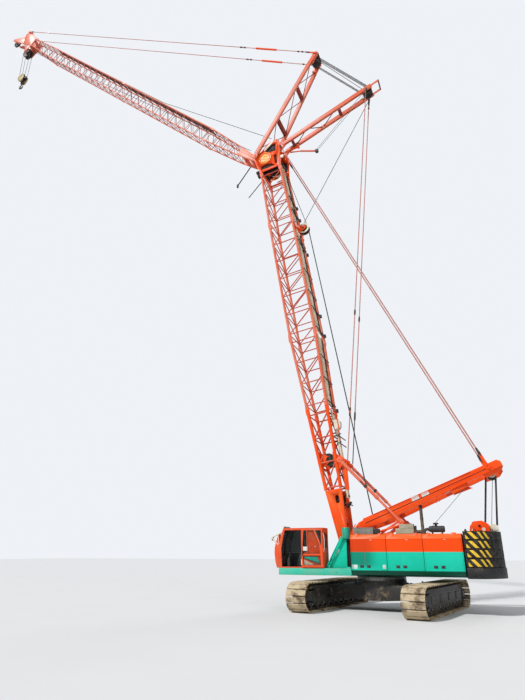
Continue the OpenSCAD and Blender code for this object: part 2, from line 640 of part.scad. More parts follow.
module slab_solid(z, h, grow) translate([0, 0, z]) linear_extrude(height = h) polygon([[cw_front, -cw_y - grow],
  [cw_front, cw_y + grow], [cw_front - 300, cw_y + grow], [cw_front - 480 - grow, cw_y - 150],
  [cw_rear + 80 - grow, 380], [cw_rear - grow, 150], [cw_rear - grow, -150], [cw_rear + 80 - grow, -380],
  [cw_front - 480 - grow, -cw_y + 150], [cw_front - 300, -cw_y - grow]]);
module counterweight_base() color("dimgray") slab_solid(cw_z, cw_base_h, 14);
module counterweight_slabs() color("gold") {
  z0 = cw_z + cw_base_h;
  for (i = [0 : cw_slab_n - 1]) {
    slab_solid(z0 + i * cw_slab_h + cw_seam, cw_slab_h - cw_seam, 0);
    slab_solid(z0 + i * cw_slab_h, cw_seam, -16);
  }
}
cw_top = cw_z + cw_base_h + cw_slab_n * cw_slab_h;
spreader_x = -2225;
module spreader() color("orangered") {
  z = cw_top;
  for (s = [-1, 1]) {
    plate([[spreader_x - 215, z], [spreader_x + 215, z], [spreader_x + 190, z + 120], [spreader_x + 110,
        z + 215],
      [spreader_x - 60, z + 225], [spreader_x - 190, z + 150]], s > 0 ? 250 : -280, 30);
    plate([[spreader_x - 150, z], [spreader_x + 150, z], [spreader_x + 120, z + 150], [spreader_x - 120,
        z + 150]],
      s > 0 ? 60 : -90, 30);
  }
  translate([spreader_x, 0, z + 120]) across(24, 600);
  for (y = [-210, -165, -120, 120, 165, 210]) translate([spreader_x, y, z + 120]) across(92, 34, 48);
}

// Jack brackets at the deck's corners

module jack() color("mediumseagreen") {
  y = cab_out_y - 150;
  z = deck_top;
  plate([[520, z], [cab_rear - 12, z], [cab_rear - 12, z + 60], [680, house_top - 60], [520,
      house_top - 60]], y, 34);
  translate([584, y + 40, house_top - 90]) cylinder(h = 250, r = 92, $fn = 48);
  bar([670, y + 60, house_top - 40], [cab_rear - 60, y + 60, z + 40], 26, 24);
  translate([cab_rear - 110, y + 30, z]) cube([90, 60, 60]);
  translate([520, y - 40, z]) cube([90, 120, 30]);
}
module jack_left() jack();
module jack_right() mirror([0, 1, 0]) jack();

// Backstops

stop_y = 550;
pad_gap = 6;
stop_top = foot + 2015 * u_boom + 347 * n_boom;
stop_low = [-641, 0, 1803];
stop_v = [stop_low[0] - stop_top[0], 0, stop_low[2] - stop_top[2]];
stop_pitch = atan2(-stop_v[2], -stop_v[0]);
module stop_pad(grow) translate(stop_low) rotate([0, -stop_pitch, 0])
  translate([-pad_gap - 36 - grow, -34 - grow, -60 - grow]) cube([36 + 2 * grow, 68 + 2 * grow, 120 + 2
      * grow]);
module stop_frame() color("orangered") both() translate([0, stop_y, 0]) {
  // pad square to the backstop, on two legs over the roof
  stop_pad(0);
  difference() {
    union() {
      bar([-670, 0, 1770], [0, 0, house_top + 30], 22, 24);
      bar([-690, 0, 1770], [-760, 0, house_top + 30], 22, 24);
      for (x = [0, -760]) translate([x - 45, -34, house_top + run_gap]) cube([90, 68, 44]);
    }
    stop_pad(run_gap);
  }
}
module backstop(sy) color("orangered") {
  p = stop_top + [0, sy * stop_y, 0];
  v = stop_v;
  q = p + v;
  difference() {
    union() {
      bar(p, p + v * 0.62, 38, 24);
      bar(p + v * 0.6, q, 30, 24);
      translate(p) across(62, 56, 32);
    }
    translate(p) across(30 + pin_gap, 90, 32);
  }
}
module backstop_left() backstop(1);
module backstop_right() backstop(-1);

// Mast

module mast() color("orangered") at_mast() {
  both() {
    difference() {
      union() {
        // box beam, deep at the foot and slim at the head
        plate([[-700, 470], [-mast_len + 60, 505], [-mast_len, 440], [-mast_len, 350], [-1100, 232],
            [-620, 260]],
          mast_in_y, mast_w);
        // foot plate down to the pin
        plate([[-60, -70], [90, 0], [60, 90], [-560, 440], [-900, 470], [-900, 262], [-420, 262], [-330,
            250], [-100, 20]],
          mast_lug_in, mast_lug_t);
        translate([0, mast_lug_in + mast_lug_t, 0]) rotate([90, 0, 0]) cylinder(h = mast_lug_t, r = 88,
            $fn = 48);
      }
      translate([0, mast_lug_in + mast_lug_t / 2, 0]) across(foot_pin_r + pin_gap, mast_lug_t + 20, 48);
    }
    // head plates beside the sheaves
    plate([[-mast_len + 500, 400], [-mast_len, 400], [-mast_len, 330], [-mast_len + 120, 250],
        [-mast_len + 420, 250]],
      mast_in_y - 1, 40);
  }
  // cross members
  for (c = [[-1500, 300, 120], [-2700, 330, 110]])
    translate([c[0], -mast_in_y - 1, c[1]]) cube([c[2], 2 * mast_in_y + 2, 140]);
  translate([-mast_len, -mast_in_y - 1, 360]) cube([120, 2 * mast_in_y + 2, 120]);
  // sheave pin
  translate([-mast_len + 280, 0, 320]) across(30, 2 * mast_in_y + 60);
}
module mast_sheaves() color("dimgray") at_mast() translate([-mast_len + 280, 0, 320])
  for (y = [-300, -250, -200, 200, 250, 300]) translate([0, y, 0]) sheave(100, 44, 30 + pin_gap);

// Main boom

hw = boom_w / 2;
hd = boom_d / 2;
// [along, half width, lower, upper]
b0 = [1400, 335, -200, 190];
b1 = [boom_s1, 385, -262, 262];
b2 = [boom_s2, hw, -hd, hd];
b3 = [boom_s3, hw, -hd, hd];
b4 = [boom_s4, hw, -hd * 0.9, hd * 0.88];
seat = 0.3;   // joint face between two sections
jib_winch_l = 2150;
module end_lugs(b, out) for (sy = [-1, 1], top = [false, true])
  translate(corner(b, sy, top) + [out ? -130 : seat, -30, -48]) cube([130 - seat, 60, 96]);
module boom_foot() color("orangered") at_boom() {
  difference() {
    union() {
      // side plates up to the first frame
      both() plate([[-20, -115], [276, -112], [1400, -215], [1400, 205], [276, 125], [-20, 115]],
        lug_in, foot_lug_t);
      both() translate([0, lug_in + foot_lug_t, 0]) rotate([90, 0, 0]) cylinder(h = foot_lug_t, r = 115,
          $fn = 48);
      // cross boxes that tie the side plates
      for (x = [620, 1290]) translate([x, -lug_in - 1, -90]) cube([110, 2 * lug_in + 2, 180]);
      lattice([1400, 300, -190, 180], b1, 3, boom_chord_r + 6, boom_lace_r + 4, [60, 140]);
      // cradle of the jib winch
      for (x = [jib_winch_l - 220, jib_winch_l + 160]) translate([x, -322, -236]) cube([60, 644, 44]);
      both() plate([[jib_winch_l - 220, -230], [jib_winch_l + 220, -230], [jib_winch_l + 50, 50],
          [jib_winch_l - 50, 50]], 222, 24);
      end_lugs([boom_s1, b1[1], b1[2], b1[3]], true);
      // ears for the backstops behind the boom
      both() plate([[1800, 150], [2300, 150], [2110, 400], [2055, 520], [1960, 520], [1935, 400]],
        lug_in + 4, foot_lug_t - 8);
      both() translate([2015, lug_in + 1, 347]) rotate([-90, 0, 0]) cylinder(h = stop_y + 36 - lug_in,
          r = 30, $fn = 32);
    }
    both() translate([0, foot_y, 0]) across(foot_pin_r + pin_gap, foot_lug_t + 20, 48);
    both() translate([jib_winch_l, 234, 0]) across(30 + pin_gap, 60, 32);
    // oval holes in the side plates
    both() for (x = [1150]) {
      translate([x, foot_y, 110]) across(38, 100, 32);
      translate([x + 70, foot_y, 110]) across(38, 100, 32);
      translate([x, foot_y - 50, 72]) cube([70, 100, 76]);
    }
  }
}
module boom_section(s, e, bays) color("orangered") at_boom() {
  lattice(s, e, bays, boom_chord_r, boom_lace_r, [130, 130]);
  end_lugs(s, false);
  end_lugs(e, true);
}
function shifted(b, d) = [b[0] + d, b[1], b[2], b[3]];
module boom_taper() boom_section(shifted(b1, seat), b2, 3);
module boom_middle() boom_section(shifted(b2, seat), b3, 6);
module boom_upper() boom_section(shifted(b3, seat), b4, 3);
head_l = jib_pin_l + 120;
disc_l = jib_pin_l - 190;
head_wheel_l = jib_pin_l - 280;
module boom_head() color("orangered") at_boom() {
  s = shifted(b4, seat);
  end_lugs(s, false);
  difference() {
    union() {
      // deep side plates that hold the jib foot and the sheaves
      both() plate([[s[0] + 60, s[2] - 36], [jib_pin_l - 250, -jib_pin_d - 60], [jib_pin_l + 20,
          -jib_pin_d - 80],
        [jib_pin_l + 90, -jib_pin_d], [head_l, -200], [head_l + 240, 120], [head_l + 240, 440], [head_l
            + 60, 470],
        [s[0] + 60, s[3] + 36]], hw - 24, 40);
      both() translate([disc_l, hw + 8, -107]) across(213, 60, 48);
      translate([s[0] + 60, -hw + 10, s[2] - 30]) cube([50, 2 * hw - 20, 60]);
      translate([s[0] + 60, -hw + 10, s[3] - 30]) cube([50, 2 * hw - 20, 60]);
      translate([head_l - 60, -hw + 10, 250]) cube([160, 2 * hw - 20, 150]);
      translate([s[0] + 115, -hw + 10, -60]) cube([50, 2 * hw - 20, 260]);
      // sheave pin
      translate([head_wheel_l, 0, 60]) across(34, 2 * hw);
      // jib foot pin with the inner lugs that hold it
      translate([jib_pin_l, 0, -jib_pin_d]) across(jib_pin_r, 2 * (hw + 136));
      for (y = [jw - 22 - side_gap - 26, jw + 22 + side_gap]) both()
        plate([[jib_pin_l - 230, -jib_pin_d - 50], [jib_pin_l + 60, -jib_pin_d - 50], [jib_pin_l + 60,
            -jib_pin_d + 60],
          [jib_pin_l + 20, -240], [jib_pin_l - 230, -240]], y, 26);
      translate([jib_pin_l - 230, -hw + 10, -300]) cube([200, 2 * hw - 20, 60]);
      // bosses for the pendants
      both() translate([head_l + 150, hw + 10, 400]) rotate([-90, 0, 0]) cylinder(h = mast_in_y
          + mast_w - hw - 10, r = 44, $fn = 32);
      // small rope guide arm to the rear
      translate([head_l - 20, -20, 390]) cube([40, 40, 560]);
      translate([head_l, 0, 950]) across(40, 90);
    }
    both() translate([disc_l, hw + 45, -107]) across(150, 40, 48);
  }
}
head_wheel_n = 60;
head_wheel_r = 250;
module boom_head_sheaves() color("dimgray") at_boom() translate([head_wheel_l, 0, head_wheel_n])
  for (y = [-190, -130, -70, 70, 130, 190]) translate([0, y, 0]) sheave(head_wheel_r, 52, 34 + pin_gap);
module jib_winch() color("darkslategray") at_boom() translate([jib_winch_l, 0, 0]) {
  across(110, 400, 48);
  for (s = [-1, 1]) translate([0, s * 205, 0]) across(150, 22, 48);
  across(30, 500);
}
module guide_sheave() color("orangered") at_boom() {
  l = guide_l;
  low = hd + boom_chord_r - 4;
  both() plate([[l - 110, low], [l + 110, low], [l + 60, guide_n + 40], [l - 60, guide_n + 40]], 66, 22);
  for (y = [-hw, hw - 60]) translate([l - 110, y, hd + boom_chord_r + run_gap]) cube([220, 60, 26]);
  translate([l - 110, -hw, hd + boom_chord_r + 4]) cube([220, 2 * hw, 22]);
  translate([l, 0, guide_n]) across(18, 176);
  translate([l, 0, guide_n]) across(guide_r, 90, 48);
}

// Walkways: a floor with two raised edges, on the lattice's cross rods
module walk(length, y0, y1, t, edge) translate([0, y0, 0]) difference() {
  cube([length, y1 - y0, edge]);
  translate([-1, t, t]) cube([length + 2, y1 - y0 - 2 * t, edge]);
}
walk_y = [-60, 330];   // its two sides on the boom
walk_inset = 60;       // clear of the section's end frames
module walk_over(s, e) {
  tilt = atan((e[3] - s[3]) / (e[0] - s[0]));
  translate([s[0], 0, s[3]]) rotate([0, -tilt, 0]) translate([walk_inset, 0, boom_lace_r + run_gap])
    walk((e[0] - s[0]) / cos(tilt) - 2 * walk_inset, walk_y[0], walk_y[1], 10, 40);
}
module boom_walkway() color("tan") at_boom() {
  walk_over(b1, b2);
  walk_over(b2, [boom_s3 - 330, b3[1], b3[2], b3[3]]);
  walk_over(b3, b4);
}
module jib_walkway() color("tan") at_jib() for (r = [[jib_s1, jm], [jm, jib_len - jib_s4]])
  translate([r[0] + walk_inset, 0, jd + jib_lace_r + run_gap])
    walk(r[1] - r[0] - 2 * walk_inset, -120, 120, 8, 30);

// Rear strut, fixed on the boom head
strut_root = [head_l + 160, 0, 400];
module at_rear_strut() at_boom() translate(strut_root) rotate([0, -rear_strut_angle, 0]) children();
rear_leg_y = 150;      // inner face of a leg
rear_leg_w = 65;
rear_plates = [0.115, 0.635];         // cross plates, as shares of the strut's length
rear_braces = [0.15, 0.3, 0.45, 0.61];   // ends of the zigzag rods
module rear_strut() color("orangered") {
  L = rear_strut_len;
  out = rear_leg_y + rear_leg_w;
  // root shoe on the boom head
  at_boom() both() plate([[head_l - 50, 400 + run_gap], [head_l + 95, 400 + run_gap], [head_l + 240, 480],
    [head_l + 255, 560], [head_l + 120, 600]], rear_leg_y + 10, rear_leg_w - 20);
  at_rear_strut() {
    both() translate([90, rear_leg_y, -leg_w / 2]) cube([L - 90, rear_leg_w, leg_w]);
    for (f = rear_plates) translate([f * L, -rear_leg_y - 10, -50]) cube([90, 2 * rear_leg_y + 20, 100]);
    for (i = [0 : len(rear_braces) - 2]) let(side = i % 2 == 0 ? -1 : 1)
      bar([rear_braces[i] * L + 8, side * (rear_leg_y + 20), 0], [rear_braces[i + 1] * L - 8, -side
          * (rear_leg_y + 20), 0], 14);
    // loop frame at the tip
    both() translate([L - 40, out - 45, -40]) cube([310, 30, 60]);
    translate([L + 240, -out + 15, -40]) cube([30, 2 * out - 30, 60]);
    translate([L - 160, 0, -20]) across(24, 2 * rear_leg_y + 30);
    for (y = [-100, -50, 0, 50, 100]) translate([L - 160, y, -20]) across(strut_sheave_r, 42, 48);
  }
}

strut_tip_y = 200;   // inner face of the front strut head
strut_tie = [0.338, 0.654];   // cross plates, as shares of the strut's length

// Front strut, hinged on the jib foot pin

module front_strut() color("orangered") at_front_strut() {
  root = hw + 60;
  tip = strut_tip_y;
  L = front_strut_len;
  difference() {
    union() {
      both() translate([0, root, 0]) rotate([0, 0, -atan((root - tip) / L)])
        translate([-60, 0, -leg_w / 2]) cube([L + 60, 60, leg_w]);
      both() translate([0, root, 0]) rotate([-90, 0, 0]) cylinder(h = 60, r = 80, $fn = 32);
      for (x = strut_tie * L) let(h = root - (root - tip) * x / L + 10) translate([x, -h, -40]) cube([90,
          2 * h, 80]);
      // head frame and sheaves
      both() plate([[L - 420, -100], [L, -90], [L + 60, 0], [L, 90], [L - 420, 100]], tip - 10, 50);
      translate([L - 160, 0, 0]) across(24, 2 * tip);
      for (y = [-110, -55, 0, 55, 110]) translate([L - 160, y, 0]) across(strut_sheave_r, 44, 48);
      translate([L, -tip, -60]) cube([50, 2 * tip, 120]);
      translate([L - 60, 0, 40]) across(26, 2 * (jib_pendant_y - 13 - run_gap));
    }
    both() translate([0, root + 30, 0]) across(jib_pin_r + pin_gap, 140, 32);
  }
}

// Luffing jib

jw = jib_w / 2;
jd = jib_d / 2;
j1 = [jib_s1, jw, -jd, jd];
j3 = [jib_len - jib_s4, jw, -jd, jd];
jm = (jib_s1 + jib_len - jib_s4) / 2;
j2 = [jm, jw, -jd, jd];
j4 = [jib_len - 450, jw * 0.85, -jd * 0.62, jd * 0.9];
module jib_lugs(b, out) for (sy = [-1, 1], top = [false, true])
  translate(corner(b, sy, top) + [out ? -90 : seat, -24, -34]) cube([90 - seat, 48, 68]);
module jib_foot() color("orangered") at_jib() difference() {
  union() {
    // solid foot plates, widening to the first bay
    both() {
      plate([[0, -60], [60, -62], [500, -120], [930, -165], [930, 165], [500, 120], [60, 62], [0, 60]],
          jw - 22, 44);
      translate([0, jw, 0]) across(60, 44);
    }
    for (x = [380, 850]) translate([x, -jw, -60]) cube([60, 2 * jw, 120]);
    lattice([900, jw, -150, 150], j1, 4, jib_chord_r, jib_lace_r, [20, 110]);
    jib_lugs(j1, true);
  }
  both() translate([0, jw, 0]) across(jib_pin_r + pin_gap, 80, 32);
}
module jib_section(s, e, bays) color("orangered") at_jib() {
  lattice(s, e, bays, jib_chord_r, jib_lace_r, [90, 90]);
  jib_lugs(s, false);
  jib_lugs(e, true);
}
module jib_middle() jib_section(shifted(j1, seat), j2, 11);
module jib_upper() jib_section(shifted(j2, seat), j3, 11);
front_sheave = [jib_len + 1130, 0, -357];
low_sheave = [jib_len - 340, 0, -560];
module jib_head() color("orangered") at_jib() {
  s = shifted(j3, seat);
  lattice(s, j4, 4, jib_chord_r, jib_lace_r, [90, 20]);
  jib_lugs(s, false);
  // head plates with the arms of both rope wheels
  y = jw * 0.85 - 20;
  both() {
    plate([[j4[0] - 20, -190], [jib_len - 480, -240], [jib_len + 180, -300], [jib_len + 560, 190],
        [jib_len + 480, 400],
      [jib_len + 360, 480], [j4[0] - 20, 240]], y, 40);
    plate([[jib_len - 440, -230], [jib_len - 150, -240], [jib_len - 280, -600], [jib_len - 400, -600]], y, 40);
    plate([[jib_len + 120, -290], [jib_len + 1170, -410], [jib_len + 1190, -320], [jib_len + 500, 60]], y, 40);
    // boss for the pendants
    translate([jib_len + jib_boss[0], y + 10, jib_boss[1]]) rotate([-90, 0, 0])
      cylinder(h = jib_pendant_y - 13 - run_gap - y - 10, r = 40, $fn = 32);
  }
  translate([j4[0] - 20, -jw * 0.85, -160]) cube([40, jw * 1.7, 60]);
  translate([jib_len - 60, -jw * 0.85, -200]) cube([100, jw * 1.7, 120]);
  translate([jib_len + 300, -jw * 0.85, 220]) cube([120, jw * 1.7, 120]);
  translate(front_sheave) across(30, jw * 1.7 + 60);
  translate(low_sheave) across(30, jw * 1.7 + 60);
}
module jib_sheave_front() color("dimgray") at_jib() translate(front_sheave) sheave(jib_sheave_r - 40, 70,
    30 + pin_gap);
module jib_sheave_low() color("dimgray") at_jib() translate(low_sheave)
  for (y = [-70, 70]) translate([0, y, 0]) sheave(jib_sheave_r, 60, 30 + pin_gap);

// Standing rigging

function on_jib(l, y, n) = jib_pin + l * [cos(jib_slope), 0, sin(jib_slope)] + n * [-sin(jib_slope), 0,
    cos(jib_slope)] + [0, y, 0];
function on_boom(l, y, n) = foot + l * u_boom + n * n_boom + [0, y, 0];
strut_slope = jib_slope + front_strut_angle;
function on_strut(l, y, n) = jib_pin + l * [cos(strut_slope), 0, sin(strut_slope)] + n
    * [-sin(strut_slope), 0, cos(strut_slope)] + [0, y, 0];
function on_mast(a, y, n) = foot + a * [-cos(mast_slope), 0, sin(mast_slope)] + n * [sin(mast_slope), 0,
    cos(mast_slope)] + [0, y, 0];
jib_pendant_y = strut_tip_y + 78;
jib_boss = [380, 370];   // pendant boss, ahead of the jib's end and above its middle
boom_pendant_y = mast_in_y + mast_w + run_gap + 16;
module jib_pendants() color("indianred") both()
  bar(on_strut(front_strut_len - 60, jib_pendant_y, 40), on_jib(jib_len + jib_boss[0], jib_pendant_y,
      jib_boss[1]), 13, 8);
rear_slope = boom_slope + rear_strut_angle;
function on_rear(l, y, n) = on_boom(strut_root[0], y, strut_root[2])
  + l * [cos(rear_slope), 0, sin(rear_slope)] + n * [-sin(rear_slope), 0, cos(rear_slope)];
stay_r = 14;
stay_top = on_rear(rear_strut_len - 160, rear_leg_y + rear_leg_w + run_gap + stay_r, -20);
stay_low = on_boom(2006, lug_in + 4 - run_gap - stay_r, 470);
stay_block = [0.885, 0.905];   // the thick socket, as shares of the stay
module rear_stays() color("indianred") both() {
  bar(stay_top, stay_low, stay_r, 8);
  bar(mix(stay_top, stay_low, stay_block[0]), mix(stay_top, stay_low, stay_block[1]), stay_r * 1.9, 24);
}
// ropes over the guide wheel: from the winch, to the boom head and to the rear strut
guide_l = boom_s3 - 260;
guide_n = hd + 210;
guide_r = 120;
rope_r = 9;
guide_rope_y = 30;   // from the wheel's middle
// ends of a straight rope between two wheels: centre and radius of each, and the side it lies on
function touch(a, ra, b, rb, side) = let(d = b - a, t = atan2(d[1], d[0]) + side * acos((ra - rb) / norm(d)))
  [a + ra * [cos(t), sin(t)], b + rb * [cos(t), sin(t)]];
rear_wheel = [strut_root[0], strut_root[2]] + (rear_strut_len - 160) * [cos(rear_strut_angle),
    sin(rear_strut_angle)]
  - 20 * [-sin(rear_strut_angle), cos(rear_strut_angle)];
module guide_rope(ends, y)
  bar(on_boom(ends[0][0], y[0], ends[0][1]), on_boom(ends[1][0], y[1], ends[1][1]), rope_r, 8);
module guide_ropes() color("dimgray") {
  grown = rope_r + run_gap;
  wheel = [guide_l, guide_n];
  head_wheel = [head_wheel_l, head_wheel_n];
  for (y = [-guide_rope_y, guide_rope_y])
    bar(on_boom(guide_l, y, guide_n + guide_r + grown), [-20, y, 1250], rope_r, 8);
  guide_rope(touch(wheel, guide_r + grown, head_wheel, head_wheel_r + grown, 1), [guide_rope_y, 70]);
  guide_rope(touch(wheel, guide_r + grown, rear_wheel, -strut_sheave_r - grown, -1), [-guide_rope_y, -50]);
}
module boom_pendants() color("indianred") both()
  bar(on_boom(head_l + 150, boom_pendant_y, 400), on_mast(mast_len - 285, boom_pendant_y, 430), 16, 8);

// Hook

hang = on_jib(low_sheave[0], 0, low_sheave[2]);
fall_top = jib_sheave_r - 60 * 0.3 + fall_r + run_gap;
fall_low = block_r + fall_r + run_gap;
module hook_falls() color("dimgray") translate(hang)
  for (s = [-1, 1], y = [-70, 70]) bar([s * fall_top, y, -2], [s * fall_low, y, -fall_len], fall_r, 8);
module hook_block() color("goldenrod") translate(hang + [0, 0, -fall_len]) {
  both() plate([[-120, 90], [120, 90], [200, 0], [185, -150], [80, -330], [-80, -330], [-185, -150],
      [-200, 0]], 104, 34);
  for (y = [-70, 70]) translate([0, y, 0]) across(block_r, 50, 48);
  across(30, 300);
  // crosshead and hook
  translate([0, 0, -290]) across(46, 230);
  translate([0, 0, -400]) cylinder(h = 120, r = 58, $fn = 32);
  translate([0, 0, -540]) plate([[-28, 150], [28, 150], [40, 60], [110, 0], [120, -80], [60, -150], [-40, -160],
    [-120, -100], [-130, -30], [-95, -30], [-80, -80], [-30, -105], [30, -100], [66, -60], [58, -10],
        [-20, 50]], -26, 52);
}

car_body();
slew_ring();
track_frame_left();
track_frame_right();
track_left();
track_right();
end_wheels_left();
end_wheels_right();
upper_frame();
side_deck();
winch_front();
winch_rear();
house_left();
house_right();
door_left_1();
door_left_2();
door_left_3();
door_right_1();
door_right_2();
door_right_3();
roof_gear();
engine();
cab();
cab_glass();
cab_seat();
cab_door();
counterweight_base();
counterweight_slabs();
spreader();
jack_left();
jack_right();
stop_frame();
mast();
mast_sheaves();
boom_foot();
boom_taper();
boom_middle();
boom_upper();
boom_head();
boom_head_sheaves();
jib_winch();
guide_sheave();
rear_strut();
boom_pendants();
backstop_left();
backstop_right();
jib_foot();
jib_middle();
jib_upper();
jib_head();
jib_sheave_front();
jib_sheave_low();
jib_pendants();
front_strut();
hook_falls();
hook_block();
boom_walkway();
jib_walkway();
rear_stays();
guide_ropes();
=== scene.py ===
import math

import bpy
from mathutils import Matrix, Vector


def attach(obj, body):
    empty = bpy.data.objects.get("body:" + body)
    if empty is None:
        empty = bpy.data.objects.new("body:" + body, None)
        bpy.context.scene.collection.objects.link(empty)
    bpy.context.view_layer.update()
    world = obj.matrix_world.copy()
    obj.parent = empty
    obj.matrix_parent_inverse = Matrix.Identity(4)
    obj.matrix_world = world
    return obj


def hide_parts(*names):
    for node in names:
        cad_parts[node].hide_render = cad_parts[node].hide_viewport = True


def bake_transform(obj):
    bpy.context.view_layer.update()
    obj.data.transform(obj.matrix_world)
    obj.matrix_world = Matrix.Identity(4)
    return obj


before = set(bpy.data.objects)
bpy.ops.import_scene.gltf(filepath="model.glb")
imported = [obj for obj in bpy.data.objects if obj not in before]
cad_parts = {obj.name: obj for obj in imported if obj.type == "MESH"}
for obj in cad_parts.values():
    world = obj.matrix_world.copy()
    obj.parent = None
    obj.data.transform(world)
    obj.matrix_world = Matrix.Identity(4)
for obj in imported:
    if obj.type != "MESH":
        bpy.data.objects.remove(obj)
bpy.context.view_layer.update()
print("frame loaded")

# the crane's own lines, in metres, as the CAD has them
lines = dict(
    trackTurn=80.3, trackGauge=2.5, trackLength=3.6, trackHeight=0.6,
    boomSlope=81.2, jibSlope=43.1, mastSlope=20.5, frontStrutAngle=75.3, rearStrutAngle=75.6,
    foot=(0.725, 0, 1.225), jibPin=(12.18, -0.39), strutRoot=(12.46, 0, 0.4))


def turnX(degrees):
    return Matrix.Rotation(math.radians(degrees), 4, "X")


def turnY(degrees):
    return Matrix.Rotation(math.radians(degrees), 4, "Y")


def turnZ(degrees):
    return Matrix.Rotation(math.radians(degrees), 4, "Z")


def move(x, y, z):
    return Matrix.Translation((x, y, z))


flipY = Matrix.Diagonal((1, -1, 1, 1))
still = Matrix.Identity(4)
boomPlace = move(*lines["foot"]) @ turnY(-lines["boomSlope"])
mastPlace = move(*lines["foot"]) @ turnY(lines["mastSlope"])
jibPin = boomPlace @ Vector((lines["jibPin"][0], 0, lines["jibPin"][1]))
jibPlace = Matrix.Translation(jibPin) @ turnY(-lines["jibSlope"])
frontStrutPlace = Matrix.Translation(jibPin) @ turnY(-lines["jibSlope"] - lines["frontStrutAngle"])
rearStrutPlace = boomPlace @ move(*lines["strutRoot"]) @ turnY(-lines["rearStrutAngle"])
trackPlaces = {side: turnZ(lines["trackTurn"]) @ move(0, sign * lines["trackGauge"] / 2, 0)
               for side, sign in (("left", 1), ("right", -1))}


# modelling helpers
def focus(*pieces):
    bpy.ops.object.select_all(action="DESELECT")
    for piece in pieces:
        piece.select_set(True)
    if pieces:
        bpy.context.view_layer.objects.active = pieces[0]


def settle(piece, place=still):
    # puts the object's place into its mesh
    piece.data.transform(place @ piece.matrix_basis)
    piece.matrix_basis = still
    return piece


def editAll(piece, *steps):
    focus(piece)
    bpy.ops.object.mode_set(mode="EDIT")
    bpy.ops.mesh.select_all(action="SELECT")
    for step in steps:
        step()
    bpy.ops.object.mode_set(mode="OBJECT")


def outward():
    bpy.ops.mesh.normals_make_consistent(inside=False)


def applyAll(piece):
    focus(piece)
    for modifier in list(piece.modifiers):
        bpy.ops.object.modifier_apply(modifier=modifier.name)


def smooth(piece, angle=32):
    focus(piece)
    bpy.ops.object.shade_smooth_by_angle(angle=math.radians(angle), keep_sharp_edges=False)
    return piece


def roundEdges(piece, width, segments=2, angle=30):
    if width:
        bevel = piece.modifiers.new("rounded", "BEVEL")
        bevel.width, bevel.segments, bevel.limit_method = width, segments, "ANGLE"
        bevel.angle_limit = math.radians(angle)
        bevel.use_clamp_overlap = True
        applyAll(piece)
    return smooth(piece)


def joinPieces(name, pieces):
    pieces = [piece for piece in pieces if piece]
    focus(*pieces)
    if len(pieces) > 1:
        bpy.ops.object.join()
    piece = bpy.context.view_layer.objects.active
    piece.name = piece.data.name = name
    return piece


def newBox(low, high, bevel=0.004, place=still):
    size = [top - bottom for bottom, top in zip(low, high)]
    middle = [(top + bottom) / 2 for bottom, top in zip(low, high)]
    focus()
    bpy.ops.mesh.primitive_cube_add(size=1, location=middle, scale=size)
    piece = settle(bpy.context.object, place)
    return roundEdges(piece, min(bevel, min(size) * 0.35))


def newPlate(outline, low, high, bevel=0.004, place=still):
    # a flat plate in the XZ plane, from y = low to y = high
    focus()
    bpy.ops.mesh.primitive_circle_add(vertices=len(outline), radius=1, fill_type="NGON")
    piece = bpy.context.object
    for vertex, (x, z) in zip(piece.data.vertices, outline):
        vertex.co = (x, low, z)
    editAll(piece, lambda: bpy.ops.mesh.extrude_region_move(TRANSFORM_OT_translate={"value": (0, high - low, 0)}),
            lambda: bpy.ops.mesh.select_all(action="SELECT"), outward)
    settle(piece, place)
    return roundEdges(piece, min(bevel, (high - low) * 0.35))


def alongLine(start, end):
    start, end = Vector(start), Vector(end)
    run = end - start
    return Matrix.Translation((start + end) / 2) @ run.to_track_quat("Z", "Y").to_matrix().to_4x4(), run.length


def newRod(start, end, radius, sides=16, bevel=0.0, endRadius=None, place=still):
    where, length = alongLine(start, end)
    focus()
    bpy.ops.mesh.primitive_cone_add(vertices=sides, radius1=radius, radius2=endRadius or radius, depth=length)
    piece = settle(bpy.context.object, place @ where)
    return roundEdges(piece, bevel, 1)


def newTurned(profile, steps=40, place=still):
    # a closed profile of (radius, height) points, turned about Z
    focus()
    bpy.ops.mesh.primitive_circle_add(vertices=len(profile), radius=1, fill_type="NOTHING")
    piece = bpy.context.object
    for vertex, (radius, height) in zip(piece.data.vertices, profile):
        vertex.co = (radius, 0, height)
    screw = piece.modifiers.new("turned", "SCREW")
    screw.steps = screw.render_steps = steps
    screw.use_merge_vertices, screw.merge_threshold = True, 0.00005
    applyAll(piece)
    editAll(piece, lambda: bpy.ops.mesh.remove_doubles(threshold=0.00005), outward)
    settle(piece, place)
    return smooth(piece)


def duplicate(piece, place=still):
    # a copy with its own mesh, put at a place
    copy = piece.copy()
    copy.data = piece.data.copy()
    copy.data.transform(place)
    if place.determinant() < 0:
        copy.data.flip_normals()
    bpy.context.collection.objects.link(copy)
    return copy


def shift(place, *pieces):
    for piece in pieces:
        piece.data.transform(place)
        if place.determinant() < 0:
            piece.data.flip_normals()


def stamp(template, places):
    # copies of one modelled template, joined into one piece
    copies = [duplicate(template, place) for place in places]
    bpy.data.objects.remove(template)
    return joinPieces("stamped", copies)


def newBars(bars, sides=10):
    # many round bars: (start, end, radius)
    focus()
    bpy.ops.mesh.primitive_cylinder_add(vertices=sides, radius=1, depth=1)
    template = smooth(bpy.context.object, 50)
    places = []
    for start, end, radius in bars:
        where, length = alongLine(start, end)
        places.append(where @ Matrix.Diagonal((radius, radius, length, 1)))
    return stamp(template, places)


def mirrored(piece):
    return duplicate(piece, flipY)


def bothSides(*pieces):
    # the pieces of one side, joined, and their mirror image
    half = joinPieces("half", pieces)
    return joinPieces("pair", [half, mirrored(half)])


